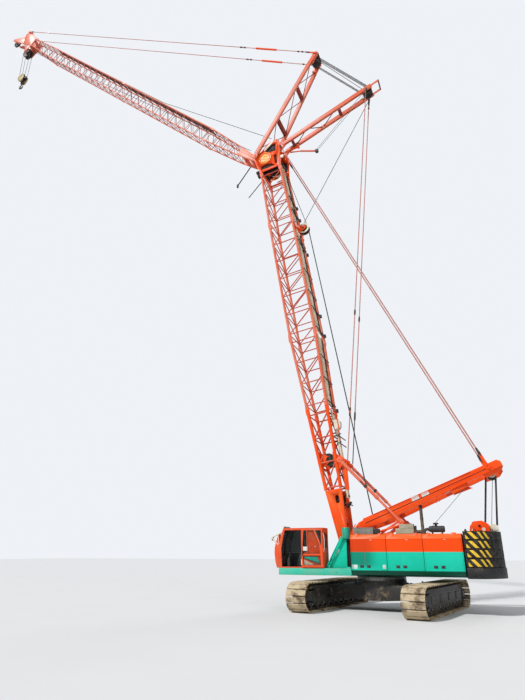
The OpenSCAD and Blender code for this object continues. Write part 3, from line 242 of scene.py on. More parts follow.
def boltCircle(radius, low, high, size, count, x=0.0, z=0.0):
    # six-sided bolt heads in a ring, standing across
    turns = [2 * math.pi * i / count for i in range(count)]
    spots = [(x + radius * math.cos(a), z + radius * math.sin(a)) for a in turns]
    return [newRod((bx, low, bz), (bx, high, bz), size, 6) for bx, bz in spots]


def newCable(points, radius, place=still, sides=2):
    # a smooth bent cable or hose through the points
    focus()
    bpy.ops.curve.primitive_nurbs_path_add()
    cable = bpy.context.object
    cable.data.splines.clear()
    spline = cable.data.splines.new("NURBS")
    spline.points.add(len(points) - 1)
    for knot, point in zip(spline.points, points):
        knot.co = (*point, 1)
    spline.use_endpoint_u, spline.order_u, spline.resolution_u = True, min(4, len(points)), 5
    cable.data.bevel_depth, cable.data.bevel_resolution, cable.data.use_fill_caps = radius, sides, True
    focus(cable)
    bpy.ops.object.convert(target="MESH")
    piece = settle(bpy.context.object, place)
    editAll(piece, lambda: bpy.ops.mesh.remove_doubles(threshold=0.00002), outward)
    return smooth(piece, 60)


def cutOut(piece, cutter):
    # takes the cutter's shape out of the piece and removes the cutter
    cut = piece.modifiers.new("opening", "BOOLEAN")
    cut.operation, cut.object, cut.solver = "DIFFERENCE", cutter, "EXACT"
    applyAll(piece)
    bpy.data.objects.remove(cutter)
    return piece


def across(radius, width, x, z, y=0.0, sides=32, bevel=0.003, place=still):
    # a round bar lying across, at x, z
    return newRod((x, y - width / 2, z), (x, y + width / 2, z), radius, sides, bevel, place=place)


def turnedAcross(profile, x, z, y=0.0, steps=40, place=still):
    # a turned part with its axis across, profile heights measured along +Y
    return newTurned(profile, steps, place @ move(x, y, z) @ turnX(-90))


def softened(node, width):
    # a copy of a CAD node with its edges rounded
    piece = duplicate(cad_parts[node])
    piece.parent = None
    piece.matrix_basis = still
    piece.hide_render = piece.hide_viewport = False
    focus(piece)
    bpy.ops.mesh.customdata_custom_splitnormals_clear()
    editAll(piece, lambda: bpy.ops.mesh.remove_doubles(threshold=0.00002),
            lambda: bpy.ops.mesh.dissolve_limited(angle_limit=math.radians(0.6)), outward)
    piece.data.materials.clear()
    return roundEdges(piece, width, 2, 28)


print("helpers ready")


# finishes
def paired(operation):
    # an operator and its reflected form
    def forward(self, other):
        return self.maths(operation, self, other)

    def reflected(self, other):
        return self.maths(operation, other, self)

    return forward, reflected


class Signal:
    # a socket that can be added, multiplied and so on: each operator adds a Math node
    __add__, __radd__ = paired("ADD")
    __sub__, __rsub__ = paired("SUBTRACT")
    __mul__, __rmul__ = paired("MULTIPLY")
    __mod__, __rmod__ = paired("FLOORED_MODULO")
    __gt__, __lt__ = paired("GREATER_THAN")[0], paired("LESS_THAN")[0]

    def __init__(self, finish, socket):
        self.finish, self.socket = finish, socket

    def __abs__(self):
        return self.maths("ABSOLUTE", self, 0.0)

    def maths(self, operation, a, b):
        return self.finish.node("ShaderNodeMath", dict(operation=operation), {0: a, 1: b})


class Finish:
    # one material: its nodes are added through node()
    def __init__(self, name, slot):
        self.material = bpy.data.materials.new(name)
        self.material.use_nodes = True
        self.tree = self.material.node_tree
        self.shader = next(n for n in self.tree.nodes if n.type == "BSDF_PRINCIPLED")

    def node(self, kind, settings, inputs, output=0):
        made = self.tree.nodes.new(kind)
        for setting, value in settings.items():
            setattr(made, setting, value)
        self.fill(made, inputs)
        return Signal(self, made.outputs[output])

    def fill(self, made, inputs):
        for key, value in inputs.items():
            if isinstance(value, Signal):
                self.tree.links.new(value.socket, made.inputs[key])
            else:
                made.inputs[key].default_value = value

    def place(self, stretch=(1, 1, 1), turn=(0, 0, 0)):
        at = self.node("ShaderNodeTexCoord", {}, {}, "Object")
        return self.node("ShaderNodeMapping", {}, {"Vector": at, "Scale": stretch, "Rotation": turn})

    def part(self, vector, axis):
        return self.node("ShaderNodeSeparateXYZ", {}, {0: vector}, axis)

    def noise(self, where, scale, detail=4, rough=0.6):
        return self.node("ShaderNodeTexNoise", {}, {"Vector": where, "Scale": scale, "Detail": detail,
            "Roughness": rough})

    def cells(self, where, scale, output="Distance"):
        return self.node("ShaderNodeTexVoronoi", {}, {"Vector": where, "Scale": scale}, output)

    def band(self, value, low, high, a=0.0, b=1.0):
        return self.node("ShaderNodeMapRange", dict(interpolation_type="SMOOTHSTEP"),
            {0: value, 1: low, 2: high, 3: a, 4: b})

    def mix(self, amount, a, b):
        made = self.tree.nodes.new("ShaderNodeMix")
        made.data_type = "RGBA"
        for key, value in ((0, amount), (6, a), (7, b)):
            self.fill(made, {key: value if isinstance(value, (Signal, float, int)) else (*value, 1)})
        return Signal(self, made.outputs[2])

    def bump(self, height, strength, distance=0.01, under=None):
        inputs = {"Height": height, "Strength": strength, "Distance": distance}
        if under:
            inputs["Normal"] = under
        return self.node("ShaderNodeBump", {}, inputs)

    def wear(self, **sockets):
        self.fill(self.shader, {key.replace("_", " "): (*value, 1) if isinstance(value, tuple) else value
                                for key, value in sockets.items()})
        return self


tones = dict(
    orange=(0.9, 0.07, 0.002), fadedOrange=(0.88, 0.125, 0.02), deepOrange=(0.5, 0.035, 0.004),
    green=(0.002, 0.56, 0.37), fadedGreen=(0.012, 0.64, 0.45), deepGreen=(0.001, 0.2, 0.12),
    grime=(0.045, 0.032, 0.022), rust=(0.2, 0.065, 0.02))


def paint(name, slot, base, faded, deep, dirt=0.5, low=None, gloss=0.38):
    # sprayed enamel: uneven fading, runs of grime, chips and a little dust
    f = Finish(name, slot)
    here = f.place()
    cloud = f.band(f.noise(here, 1.1, 5), 0.35, 0.7)
    colour = f.mix(cloud, base, faded)
    if low:
        # green below the colour line; painted shade darkens the front panel of both colours and the down-facing
        # chamfer under the green, and a painted highlight lightens the top chamfer
        x, height = f.part(here, 0), f.part(here, 2)
        green = f.mix(cloud, low[0], low[1])
        # painted shade: a band along x that darkens the front panel
        edge = f.band(x + f.noise(here, 1.6, 3) * 0.25, -0.05, 0.3)
        green = f.mix(edge * f.band(height, 0.83, 0.98), green, low[3])
        # painted shade: the down-facing chamfer below 0.828 in dark green
        green = f.mix(height < 0.828, green, low[4])
        # painted highlight: paler orange on the top chamfer above 1.463, with painted shade on the front panel below
        # it
        orangeWithPaintedLight = f.mix(height > 1.463, f.mix(edge * 0.55, base, deep), faded)
        colour = f.mix(height > low[2], green, orangeWithPaintedLight)
    runs = f.band(f.noise(f.place((9, 9, 0.8)), 1.0, 6), 0.56, 0.78)
    stain = f.band(f.noise(here, 5.5, 8, 0.7), 0.58, 0.74)
    colour = f.mix(runs * (0.3 * dirt), colour, deep)
    colour = f.mix(stain * (0.45 * dirt), colour, tones["grime"])
    chips = f.band(f.noise(here, 46, 3), 0.735, 0.755)
    colour = f.mix(chips * (0.8 * dirt), colour, tones["rust"])
    relief = f.noise(here, 160, 2) * 0.12 + chips * -0.5
    rough = f.band(stain + runs, 0.0, 1.2, gloss, gloss + 0.28)
    return f.wear(Base_Color=colour, Roughness=rough, Normal=f.bump(relief, 0.35, 0.004),
                  Specular_IOR_Level=0.22).material


def cabPaint():
    # faded salmon outside; inside the cab's walls the colour is painted near-black as shade
    f = Finish("cabEnamelWithInsideShade", "orange_paint")
    here = f.place()
    x, y, z = (f.part(here, axis) for axis in range(3))
    cloud = f.band(f.noise(here, 1.6, 5), 0.35, 0.7)
    colour = f.mix(cloud, (0.78, 0.085, 0.018), (0.66, 0.16, 0.085))
    stain = f.band(f.noise(here, 7, 8, 0.7), 0.56, 0.74)
    colour = f.mix(stain * 0.35, colour, (0.16, 0.03, 0.015))
    # painted shade: near-black inside the cab's box
    inside = (y > 0.474) * (y < 0.797) * (x > 1.112) * (x < 2.15) * (z > 0.884) * (z < 1.696)
    insideShade = f.mix(f.noise(here, 9, 5), (0.01, 0.016, 0.013), (0.045, 0.055, 0.046))
    colour = f.mix(inside, colour, insideShade)
    return f.wear(Base_Color=colour, Roughness=f.band(stain, 0, 1, 0.4, 0.65), Specular_IOR_Level=0.22,
                  Normal=f.bump(f.noise(here, 150, 2), 0.2, 0.003)).material


def latticePaint(name, slot, fresh=(0.78, 0.145, 0.065), faded=(0.74, 0.25, 0.165), soot=0.4):
    # thin enamel on tubes: faded pink in places, with soot and rust in the corners
    f = Finish(name, slot)
    here = f.place()
    cloud = f.band(f.noise(here, 0.8, 4), 0.35, 0.7)
    colour = f.mix(cloud, fresh, faded)
    stain = f.band(f.noise(here, 9, 8, 0.7), 0.56, 0.74)
    colour = f.mix(stain * soot, colour, (0.16, 0.025, 0.012))
    rust = f.band(f.noise(here, 30, 4), 0.68, 0.72)
    colour = f.mix(rust * 0.7, colour, tones["rust"])
    return f.wear(Base_Color=colour, Roughness=f.band(stain, 0, 1, 0.4, 0.65), Specular_IOR_Level=0.22,
                  Normal=f.bump(f.noise(here, 120, 3), 0.2, 0.003)).material


def dirtySteel(name, slot, dark, dust, amount=0.5, metallic=0.0, rough=0.62, scale=1.0):
    # bare or thinly painted steel under grease and dust
    f = Finish(name, slot)
    here = f.place()
    patch = f.band(f.noise(here, 3.2 * scale, 8, 0.68), 0.6 - 0.3 * amount, 0.74 - 0.2 * amount)
    fine = f.band(f.noise(here, 24 * scale, 6, 0.7), 0.4, 0.65)
    colour = f.mix(patch * fine, dark, dust)
    rusty = f.band(f.noise(here, 11 * scale, 6), 0.6, 0.72)
    colour = f.mix(rusty * 0.45, colour, tones["rust"])
    relief = f.noise(here, 60 * scale, 5) * 0.5 + patch * 0.5
    return f.wear(Base_Color=colour, Roughness=f.band(patch, 0, 1, rough - 0.15, rough + 0.25), Metallic=metallic,
                  Normal=f.bump(relief, 0.45, 0.006)).material


def shoeSteel():
    # track shoes caked with pale dried sand, darker where the steel shows
    f = Finish("trackShoeDust", "track_steel")
    here = f.place()
    sand = f.band(f.noise(here, 4.5, 9, 0.7), 0.36, 0.56)
    grain = f.noise(here, 90, 5, 0.75)
    pale = f.mix(grain, (0.4, 0.3, 0.175), (0.68, 0.56, 0.37))
    colour = f.mix(sand, f.mix(f.noise(here, 14, 6), (0.05, 0.035, 0.022), (0.2, 0.12, 0.06)), pale)
    crumbs = f.cells(here, 70)
    relief = grain * 0.7 + sand * 0.8 + crumbs * 0.3
    return f.wear(Base_Color=colour, Roughness=f.band(sand, 0, 1, 0.62, 0.95), Normal=f.bump(relief, 0.7,
        0.008)).material


def stripePaint():
    # slanted yellow bars on black, one row to each slab, worn at the edges
    f = Finish("weightStripes", "weight_yellow")
    here = f.place()
    x, y, z = (f.part(here, axis) for axis in range(3))
    slab, seam, base = 0.177, 0.008, 0.895
    row = (z - base) % slab
    wobble = f.noise(here, 18, 4) * 0.012
    wide = row * 0.93 - x + wobble - 0.14
    thin = row * 0.57 - x + wobble - 0.086
    bar = (wide > 1.835) * (wide < 1.902) + (wide > 1.996) * (wide < 2.074)
    bar = bar + (thin > 2.185) * (thin < 2.228) + (thin > 2.287) * (thin < 2.329)
    inRow = (row > seam + 0.018) * (row < slab - 0.016)
    sideways = (abs(y) > 0.47) * (x < -1.935) * (x > -2.4)
    yellow = f.mix(f.noise(here, 6, 5), (0.93, 0.6, 0.02), (0.8, 0.5, 0.05))
    worn = f.band(f.noise(here, 26, 8, 0.75), 0.6, 0.66)
    soot = f.mix(f.band(f.noise(here, 14, 9, 0.75), 0.42, 0.66), (0.008, 0.007, 0.007), (0.07, 0.06, 0.052))
    colour = f.mix(bar * inRow * sideways * (1 - worn), soot, yellow)
    grimy = f.band(f.noise(f.place((7, 7, 0.9)), 1, 6), 0.55, 0.75)
    colour = f.mix(grimy * 0.45, colour, tones["grime"])
    relief = f.noise(here, 26, 9, 0.75) + f.cells(here, 30) * 0.25
    return f.wear(Base_Color=colour, Roughness=f.band(worn, 0, 1, 0.5, 0.85), Specular_IOR_Level=0.2,
                  Normal=f.bump(relief, 0.8, 0.016)).material


def discPaint():
    # the ringed warning disc at the boom head: orange bars on yellow, across the machine's height
    f = Finish("headDiscStripes", "orange_paint")
    here = f.place()
    z, x = f.part(here, 2), f.part(here, 0)
    bar = ((z * 0.985 - x * 0.17 + 0.03) % 0.104) < 0.036
    colour = f.mix(bar, f.mix(f.noise(here, 5), (0.95, 0.56, 0.012), (0.95, 0.36, 0.012)), (0.62, 0.11, 0.006))
    return f.wear(Base_Color=colour, Roughness=f.band(f.noise(here, 8, 5), 0.3, 0.7, 0.35, 0.6),
                  Normal=f.bump(f.noise(here, 140), 0.2, 0.003)).material


def ropeSteel(name, slot, dark, light, lay=140.0):
    f = Finish(name, slot)
    here = f.place()
    strand = f.node("ShaderNodeTexWave", dict(wave_type="BANDS", bands_direction="DIAGONAL"),
                    {"Vector": here, "Scale": lay, "Distortion": 1.5, "Detail": 2})
    grease = f.noise(here, 12, 6)
    colour = f.mix(grease * 0.8 + strand * 0.2, dark, light)
    return f.wear(Base_Color=colour, Roughness=f.band(grease, 0.3, 0.7, 0.42, 0.7), Metallic=0.55,
                  Normal=f.bump(strand, 0.6, 0.004)).material


def glassFinish(name, clear, streak, thin, thick):
    f = Finish(name, "cab_glass")
    here = f.place()
    smear = f.band(f.noise(f.place((3, 3, 1.2)), 2.4, 6), 0.45, 0.8)
    f.wear(Base_Color=f.mix(smear, clear, streak), Roughness=f.band(smear, 0, 1, 0.05, 0.25),
           Alpha=f.band(f.noise(here, 3, 4), 0.2, 0.8, thin, thick), Specular_IOR_Level=0.4)
    return f.material


def fabricFinish():
    f = Finish("seatFabric", "seat_fabric")
    here = f.place()
    weave = f.node("ShaderNodeTexWave", dict(wave_type="BANDS", bands_direction="X"),
        {"Vector": here, "Scale": 90}) * f.node("ShaderNodeTexWave", dict(wave_type="BANDS", bands_direction="Z"),
        {"Vector": here, "Scale": 90})
    colour = f.mix(weave * 0.6 + f.noise(here, 8, 5) * 0.4, (0.012, 0.013, 0.016), (0.06, 0.062, 0.07))
    return f.wear(Base_Color=colour, Roughness=f.band(weave, 0, 1, 0.8, 0.95), Normal=f.bump(weave, 0.5, 0.002),
                  Sheen_Weight=0.3).material


def gratingFinish():
    # punched walkway steel: dark holes in a tan, dusty sheet
    f = Finish("walkwaySteel", "frame_dark")
    here = f.place()
    holes = f.band(f.cells(here, 26), 0.16, 0.24)
    dust = f.band(f.noise(here, 4, 7, 0.7), 0.42, 0.6)
    sheet = f.mix(dust, (0.1, 0.075, 0.05), (0.46, 0.34, 0.2))
    colour = f.mix(holes, (0.012, 0.011, 0.01), sheet)
    return f.wear(Base_Color=colour, Roughness=f.band(dust, 0, 1, 0.5, 0.85), Normal=f.bump(holes, 0.8,
        0.004)).material


def exhaustFinish():
    f = Finish("exhaustRust", "gear_grey")
    here = f.place()
    heat = f.band(f.noise(here, 7, 7, 0.65), 0.35, 0.65)
    colour = f.mix(heat, (0.05, 0.034, 0.026), (0.22, 0.15, 0.1))
    soot = f.band(f.part(here, 2), 2.02, 2.14)
    colour = f.mix(soot, colour, (0.012, 0.01, 0.01))
    return f.wear(Base_Color=colour, Roughness=f.band(heat, 0, 1, 0.6, 0.85), Metallic=0.35,
                  Normal=f.bump(f.noise(here, 60, 6), 0.5, 0.004)).material


def plainCoat(name, slot, light, dark, rough=0.45, scale=6.0, metallic=0.0):
    f = Finish(name, slot)
    here = f.place()
    patch = f.band(f.noise(here, scale, 7, 0.65), 0.35, 0.7)
    speck = f.band(f.noise(here, scale * 9, 4), 0.62, 0.72)
    colour = f.mix(speck * 0.5, f.mix(patch, light, dark), tones["grime"])
    return f.wear(Base_Color=colour, Roughness=f.band(patch, 0, 1, rough, rough + 0.2), Metallic=metallic,
                  Normal=f.bump(f.noise(here, 90, 4), 0.25, 0.003)).material


t = tones
finishes = dict(
    orange=paint("orangeEnamel", "orange_paint", t["orange"], t["fadedOrange"], t["deepOrange"]),
    lattice=latticePaint("latticeEnamel", "orange_paint"),
    # braces and jib braces: darker copies of the lattice enamel with more soot, as painted shade
    brace=latticePaint("braceEnamelPaintedShade", "orange_paint", (0.52, 0.06, 0.022), (0.66, 0.15, 0.085), 0.6),
    jibBrace=latticePaint("jibBraceEnamelPaintedShade", "orange_paint", (0.36, 0.055, 0.03), (0.55, 0.14, 0.09), 0.7),
    # strut ties and braces: a dark maroon copy of the lattice enamel, painted shade
    shadedMaroon=latticePaint("maroonEnamelPaintedShade", "orange_paint", (0.17, 0.016, 0.009), (0.3, 0.045, 0.028), 0.5),
    deckGreen=plainCoat("deckEnamel", "green_paint", (0.035, 0.52, 0.35), (0.12, 0.5, 0.35), 0.5, 2.5),
    # upper frame: a darker copy of the green enamel, painted shade
    frameShadedGreen=plainCoat("frameEnamelPaintedShade", "green_paint", (0.003, 0.15, 0.092), (0.002, 0.085, 0.052), 0.5, 4),
    # jack columns: a darker copy of the green, painted shade
    columnShadedGreen=plainCoat("columnEnamelPaintedShade", "green_paint", (0.004, 0.34, 0.215), (0.003, 0.22, 0.14), 0.45, 6),
    green=paint("greenEnamel", "green_paint", t["green"], t["fadedGreen"], t["deepGreen"]),
    # the house: orange over green; the last two greens are painted shade for the front panel and the lower chamfer
    house=paint("houseEnamelWithPaintedLight", "orange_paint", t["orange"], t["fadedOrange"], t["deepOrange"], 0.45,
                (t["green"], t["fadedGreen"], 1.2, (0.002, 0.26, 0.17), (0.002, 0.105, 0.06))),
    cab=cabPaint(),
    winch=plainCoat("winchGreen", "winch_paint", (0.022, 0.07, 0.06), (0.01, 0.03, 0.026)),
    frameDark=dirtySteel("frameSteel", "frame_dark", (0.022, 0.02, 0.018), (0.22, 0.165, 0.1), 0.42),
    shoe=shoeSteel(),
    link=dirtySteel("linkSteel", "track_steel", (0.03, 0.024, 0.018), (0.33, 0.25, 0.15), 0.6),
    roller=dirtySteel("rollerSteel", "track_steel", (0.1, 0.095, 0.085), (0.38, 0.3, 0.19), 0.45, 0.3, 0.5),
    ring=dirtySteel("ringSteel", "ring_steel", (0.16, 0.155, 0.15), (0.3, 0.25, 0.18), 0.35, 0.6, 0.4),
    stripes=stripePaint(), disc=discPaint(),
    base=dirtySteel("weightBaseIron", "weight_base", (0.01, 0.01, 0.01), (0.085, 0.068, 0.052), 0.3),
    rope=ropeSteel("hoistRope", "fall_rope", (0.02, 0.02, 0.022), (0.11, 0.105, 0.1)),
    pendant=ropeSteel("pendantRope", "pendant_rope", (0.42, 0.13, 0.1), (0.66, 0.34, 0.29), 60),
    socket=plainCoat("ropeSockets", "pendant_rope", (0.09, 0.055, 0.05), (0.03, 0.022, 0.02), 0.5, 8, 0.4),
    sheave=plainCoat("sheaveIron", "sheave_steel", (0.06, 0.052, 0.046), (0.016, 0.014, 0.013), 0.5, 5, 0.4),
    paleSheave=plainCoat("paleSheave", "sheave_steel", (0.78, 0.72, 0.58), (0.55, 0.47, 0.34), 0.4),
    glass=glassFinish("cabGlass", (0.01, 0.02, 0.014), (0.04, 0.058, 0.045), 0.86, 0.93),
    clearGlass=glassFinish("clearGlass", (0.03, 0.05, 0.04), (0.16, 0.18, 0.15), 0.1, 0.22),
    # near-black: painted shade behind openings and inside the boom head, also the mast's dark seams
    darkInside=plainCoat("darkInside", "frame_dark", (0.03, 0.012, 0.008), (0.008, 0.006, 0.005), 0.7, 9),
    fabric=fabricFinish(), grating=gratingFinish(), exhaust=exhaustFinish(),
    cream=plainCoat("creamBox", "gear_grey", (0.42, 0.385, 0.275), (0.32, 0.275, 0.18)),
    grey=plainCoat("greyBox", "gear_grey", (0.24, 0.235, 0.2), (0.15, 0.14, 0.11)),
    black=plainCoat("blackRubber", "frame_dark", (0.02, 0.019, 0.018), (0.055, 0.048, 0.04), 0.55),
    plate=plainCoat("blankPlate", "green_paint", (0.72, 0.74, 0.7), (0.5, 0.52, 0.48), 0.4),
    hook=plainCoat("hookYellow", "hook_yellow", (0.6, 0.46, 0.2), (0.28, 0.2, 0.09), 0.5),
    lamp=plainCoat("lampLens", "cab_glass", (0.75, 0.74, 0.68), (0.55, 0.54, 0.5), 0.12),
    walkway=plainCoat("walkwayTan", "frame_dark", (0.86, 0.72, 0.52), (0.58, 0.42, 0.26), 0.6, 4),
    walkwayEdge=plainCoat("walkwayEdge", "frame_dark", (0.055, 0.06, 0.045), (0.022, 0.02, 0.016), 0.6, 5),
    walkwayPink=plainCoat("walkwayPanels", "frame_dark", (0.66, 0.38, 0.3), (0.42, 0.2, 0.15), 0.6, 5),
    engine=plainCoat("engineGrey", "engine_grey", (0.1, 0.11, 0.11), (0.04, 0.042, 0.04)))
print("finishes ready:", len(finishes))


def dress(name, parts, finish, body="upper_works", node=None):
    # joins the parts, gives them a finish and hangs them on their CAD body
    piece = joinPieces(name, parts if isinstance(parts, (list, tuple)) else [parts])
    piece.data.materials.clear()
    piece.data.materials.append(finishes[finish])
    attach(piece, body)
    if node:
        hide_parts(node)
    return piece


def refinish(node, finish):
    # a CAD node that stays gets a better material
    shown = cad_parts[node]
    if not shown.material_slots:
        shown.data.materials.append(finishes[finish])
    for slot in shown.material_slots:
        slot.material = finishes[finish]


def soften(node, width, finish, body="upper_works", extra=()):
    return dress(node + "Shape", [softened(node, width), *extra], finish, body, node)


# camera, light and floor
def setStage():
    look = dict(place=(-2.58, 13.01, 1.2), heading=(0.39, -0.92), pitch=21, lens=36.07, sensor=36)
    bpy.ops.object.camera_add(location=look["place"])
    camera = bpy.context.object
    heading = Vector((*look["heading"], 0)).normalized()
    up = math.radians(look["pitch"])
    camera.rotation_euler = (heading * math.cos(up) + Vector((0, 0, math.sin(up)))).to_track_quat("-Z",
        "Y").to_euler()
    camera.data.sensor_fit, camera.data.sensor_width, camera.data.lens = "HORIZONTAL", look["sensor"], look["lens"]
    camera.data.clip_end = 400
    bpy.context.scene.camera = camera

    lamps = (("key", (11, 15, 22), 2.9, 4), ("fill", (-14, 12, 10), 0.45, 30), ("rim", (-6, -18, 16), 0.5, 25))
    for name, at, strength, width in lamps:
        bpy.ops.object.light_add(type="SUN", location=at)
        lamp = bpy.context.object
        lamp.name, lamp.data.energy, lamp.data.angle = name, strength, math.radians(width)
        lamp.rotation_euler = (Vector((0, 0, 2)) - Vector(at)).to_track_quat("-Z", "Y").to_euler()

    bpy.context.scene.view_settings.view_transform = "Standard"
    world = bpy.data.worlds.new("studio")
    bpy.context.scene.world = world
    world.use_nodes = True
    nodes, links = world.node_tree.nodes, world.node_tree.links
    back = next(n for n in nodes if n.type == "BACKGROUND")
    back.inputs["Color"].default_value, back.inputs["Strength"].default_value = (0.8, 0.86, 0.95, 1), 0.42
    pale = nodes.new("ShaderNodeBackground")
    pale.inputs["Color"].default_value, pale.inputs["Strength"].default_value = (0.86, 0.89, 0.93, 1), 1.0
    rays, seen, blend = (nodes.new(kind) for kind in ("ShaderNodeLightPath", "ShaderNodeMath", "ShaderNodeMixShader"))
    seen.operation = "MAXIMUM"
    links.new(rays.outputs["Is Camera Ray"], seen.inputs[0])
    links.new(rays.outputs["Is Transmission Ray"], seen.inputs[1])
    links.new(seen.outputs[0], blend.inputs[0])
    links.new(back.outputs[0], blend.inputs[1])
    links.new(pale.outputs[0], blend.inputs[2])
    links.new(blend.outputs[0], next(n for n in nodes if n.type == "OUTPUT_WORLD").inputs[0])

    focus()
    bpy.ops.mesh.primitive_plane_add(size=160, location=(0, 0, 0))
    floor = bpy.context.object
    floor.name = "floor"
    ground = Finish("paleFloor", "frame_dark")
    ground.wear(Base_Color=ground.mix(ground.noise(ground.place(), 0.7, 4), (0.66, 0.66, 0.65), (0.7, 0.7, 0.69)),
        Roughness=0.9)
    floor.data.materials.append(ground.material)


setStage()
print("stage set")

# tracks
trackForm = dict(shoes=54, width=0.465, gap=0.028, thick=0.034, band=0.046, rollers=10, rollerRadius=0.066)


def loopPoint(s, radius):
    side = lines["trackLength"] - lines["trackHeight"]
    middle = lines["trackHeight"] / 2
    arc = math.pi * middle
    s %= 2 * side + 2 * arc
    if s < side:
        return Vector((s - side / 2, 0, middle - radius))
    if s < side + arc:
        a = (s - side) / arc * math.pi
        return Vector((side / 2 + radius * math.sin(a), 0, middle - radius * math.cos(a)))
    if s < 2 * side + arc:
        return Vector((side / 2 - (s - side - arc), 0, middle + radius))
    a = (s - 2 * side - arc) / arc * math.pi
    return Vector((-side / 2 - radius * math.sin(a), 0, middle + radius * math.cos(a)))


def buildTracks():
    form = trackForm
    side = lines["trackLength"] - lines["trackHeight"]
    middle = lines["trackHeight"] / 2
    pitch = (2 * side + 2 * math.pi * middle) / form["shoes"]
    half, halfWidth = (pitch - form["gap"]) / 2, form["width"] / 2
    # one flat shoe: a lip at the front, a low bar behind, worn corners
    shoe = newPlate([(-half, -0.01), (-half + 0.006, 0), (half - 0.01, 0), (half, -0.008), (half, -0.03),
        (half - 0.014, -0.032), (half - 0.02, -0.02), (-half + 0.018, -0.02), (-half + 0.014, -0.034),
        (-half, -0.034)], -halfWidth, halfWidth, 0.003)
    lug = newPlate([(-0.07, -0.066), (-0.052, -0.08), (0.052, -0.08), (0.07, -0.066), (0.062, -0.036),
        (-0.062, -0.036)], 0.04, 0.072, 0)
    bolts = [newRod((x, y, -0.04), (x, y, -0.03), 0.012, 6) for x in (-0.03, 0.03) for y in (0.1, -0.1)]
    pin = newRod((0.072, -0.084, -0.06), (0.072, 0.084, -0.06), 0.014, 8)
    links = joinPieces("links", [lug, mirrored(lug), pin, *bolts])
    places = []
    for i in range(form["shoes"]):
        a = loopPoint(i * pitch + form["gap"] / 2, middle)
        b = loopPoint((i + 1) * pitch - form["gap"] / 2, middle)
        along = (b - a).normalized()
        out = Vector((along.z, 0, -along.x))
        place = Matrix((along, Vector((0, 1, 0)), out)).transposed().to_4x4()
        places.append(Matrix.Translation((a + b) / 2) @ place)
    shoes, chain = stamp(shoe, places), stamp(links, places)
    for name, place in trackPlaces.items():
        dress(name + "TrackShoes", duplicate(shoes, place), "shoe", "undercarriage", "track_" + name)
        dress(name + "TrackChain", duplicate(chain, place), "link", "undercarriage")

    # rollers, hub caps and the drive housing
    innerRadius = middle - form["thick"] - form["band"]
    roller = turnedAcross([(0.018, -0.092), (0.06, -0.092), (0.066, -0.086), (0.066, -0.06), (0.052, -0.052),
        (0.052, 0.052), (0.066, 0.06), (0.066, 0.086), (0.06, 0.092), (0.018, 0.092)], 0, 0, 0, 20)
    run = side - 0.5
    at = [move(-run / 2 + run * i / (form["rollers"] - 1), 0, middle - innerRadius + 0.0003 + form["rollerRadius"])
          for i in range(form["rollers"])]
    cap = turnedAcross([(0.0, 0.103), (0.04, 0.103), (0.04, 0.118), (0.03, 0.124), (0.014, 0.124), (0.01, 0.13),
        (0.0, 0.13)], 0, 0, 0, 16)
    rollers = stamp(roller, at)
    caps = stamp(joinPieces("cap", [cap, mirrored(cap)]), at)
    hub = turnedAcross([(0.0, 0.15), (0.105, 0.15), (0.112, 0.144), (0.112, 0.138), (0.0, 0.138)], 0, 0, 0, 32)
    hubs = stamp(joinPieces("hub", [hub, *boltCircle(0.088, 0.146, 0.158, 0.011, 8)]),
        [move(s * side / 2, 0, middle) for s in (-1, 1)])
    drive = turnedAcross([(0.0, -0.3), (0.105, -0.3), (0.125, -0.29), (0.13, -0.24), (0.165, -0.232), (0.17, -0.16),
                          (0.185, -0.154), (0.185, -0.138), (0.0, -0.138)], -side / 2, middle, 0, 40)
    for name, place in trackPlaces.items():
        inward = still if name == "left" else flipY
        for source, label, finish in ((rollers, "Rollers", "roller"), (caps, "RollerCaps", "roller"),
                                      (hubs, "HubCaps", "frameDark"), (drive, "Drive", "frameDark")):
            dress(name + "Track" + label, duplicate(source, place @ inward), finish, "undercarriage")
    for source in (shoes, chain, rollers, caps, hubs, drive):
        bpy.data.objects.remove(source)


buildTracks()
print("tracks built")


# undercarriage
baseForm = dict(edge=0.007)


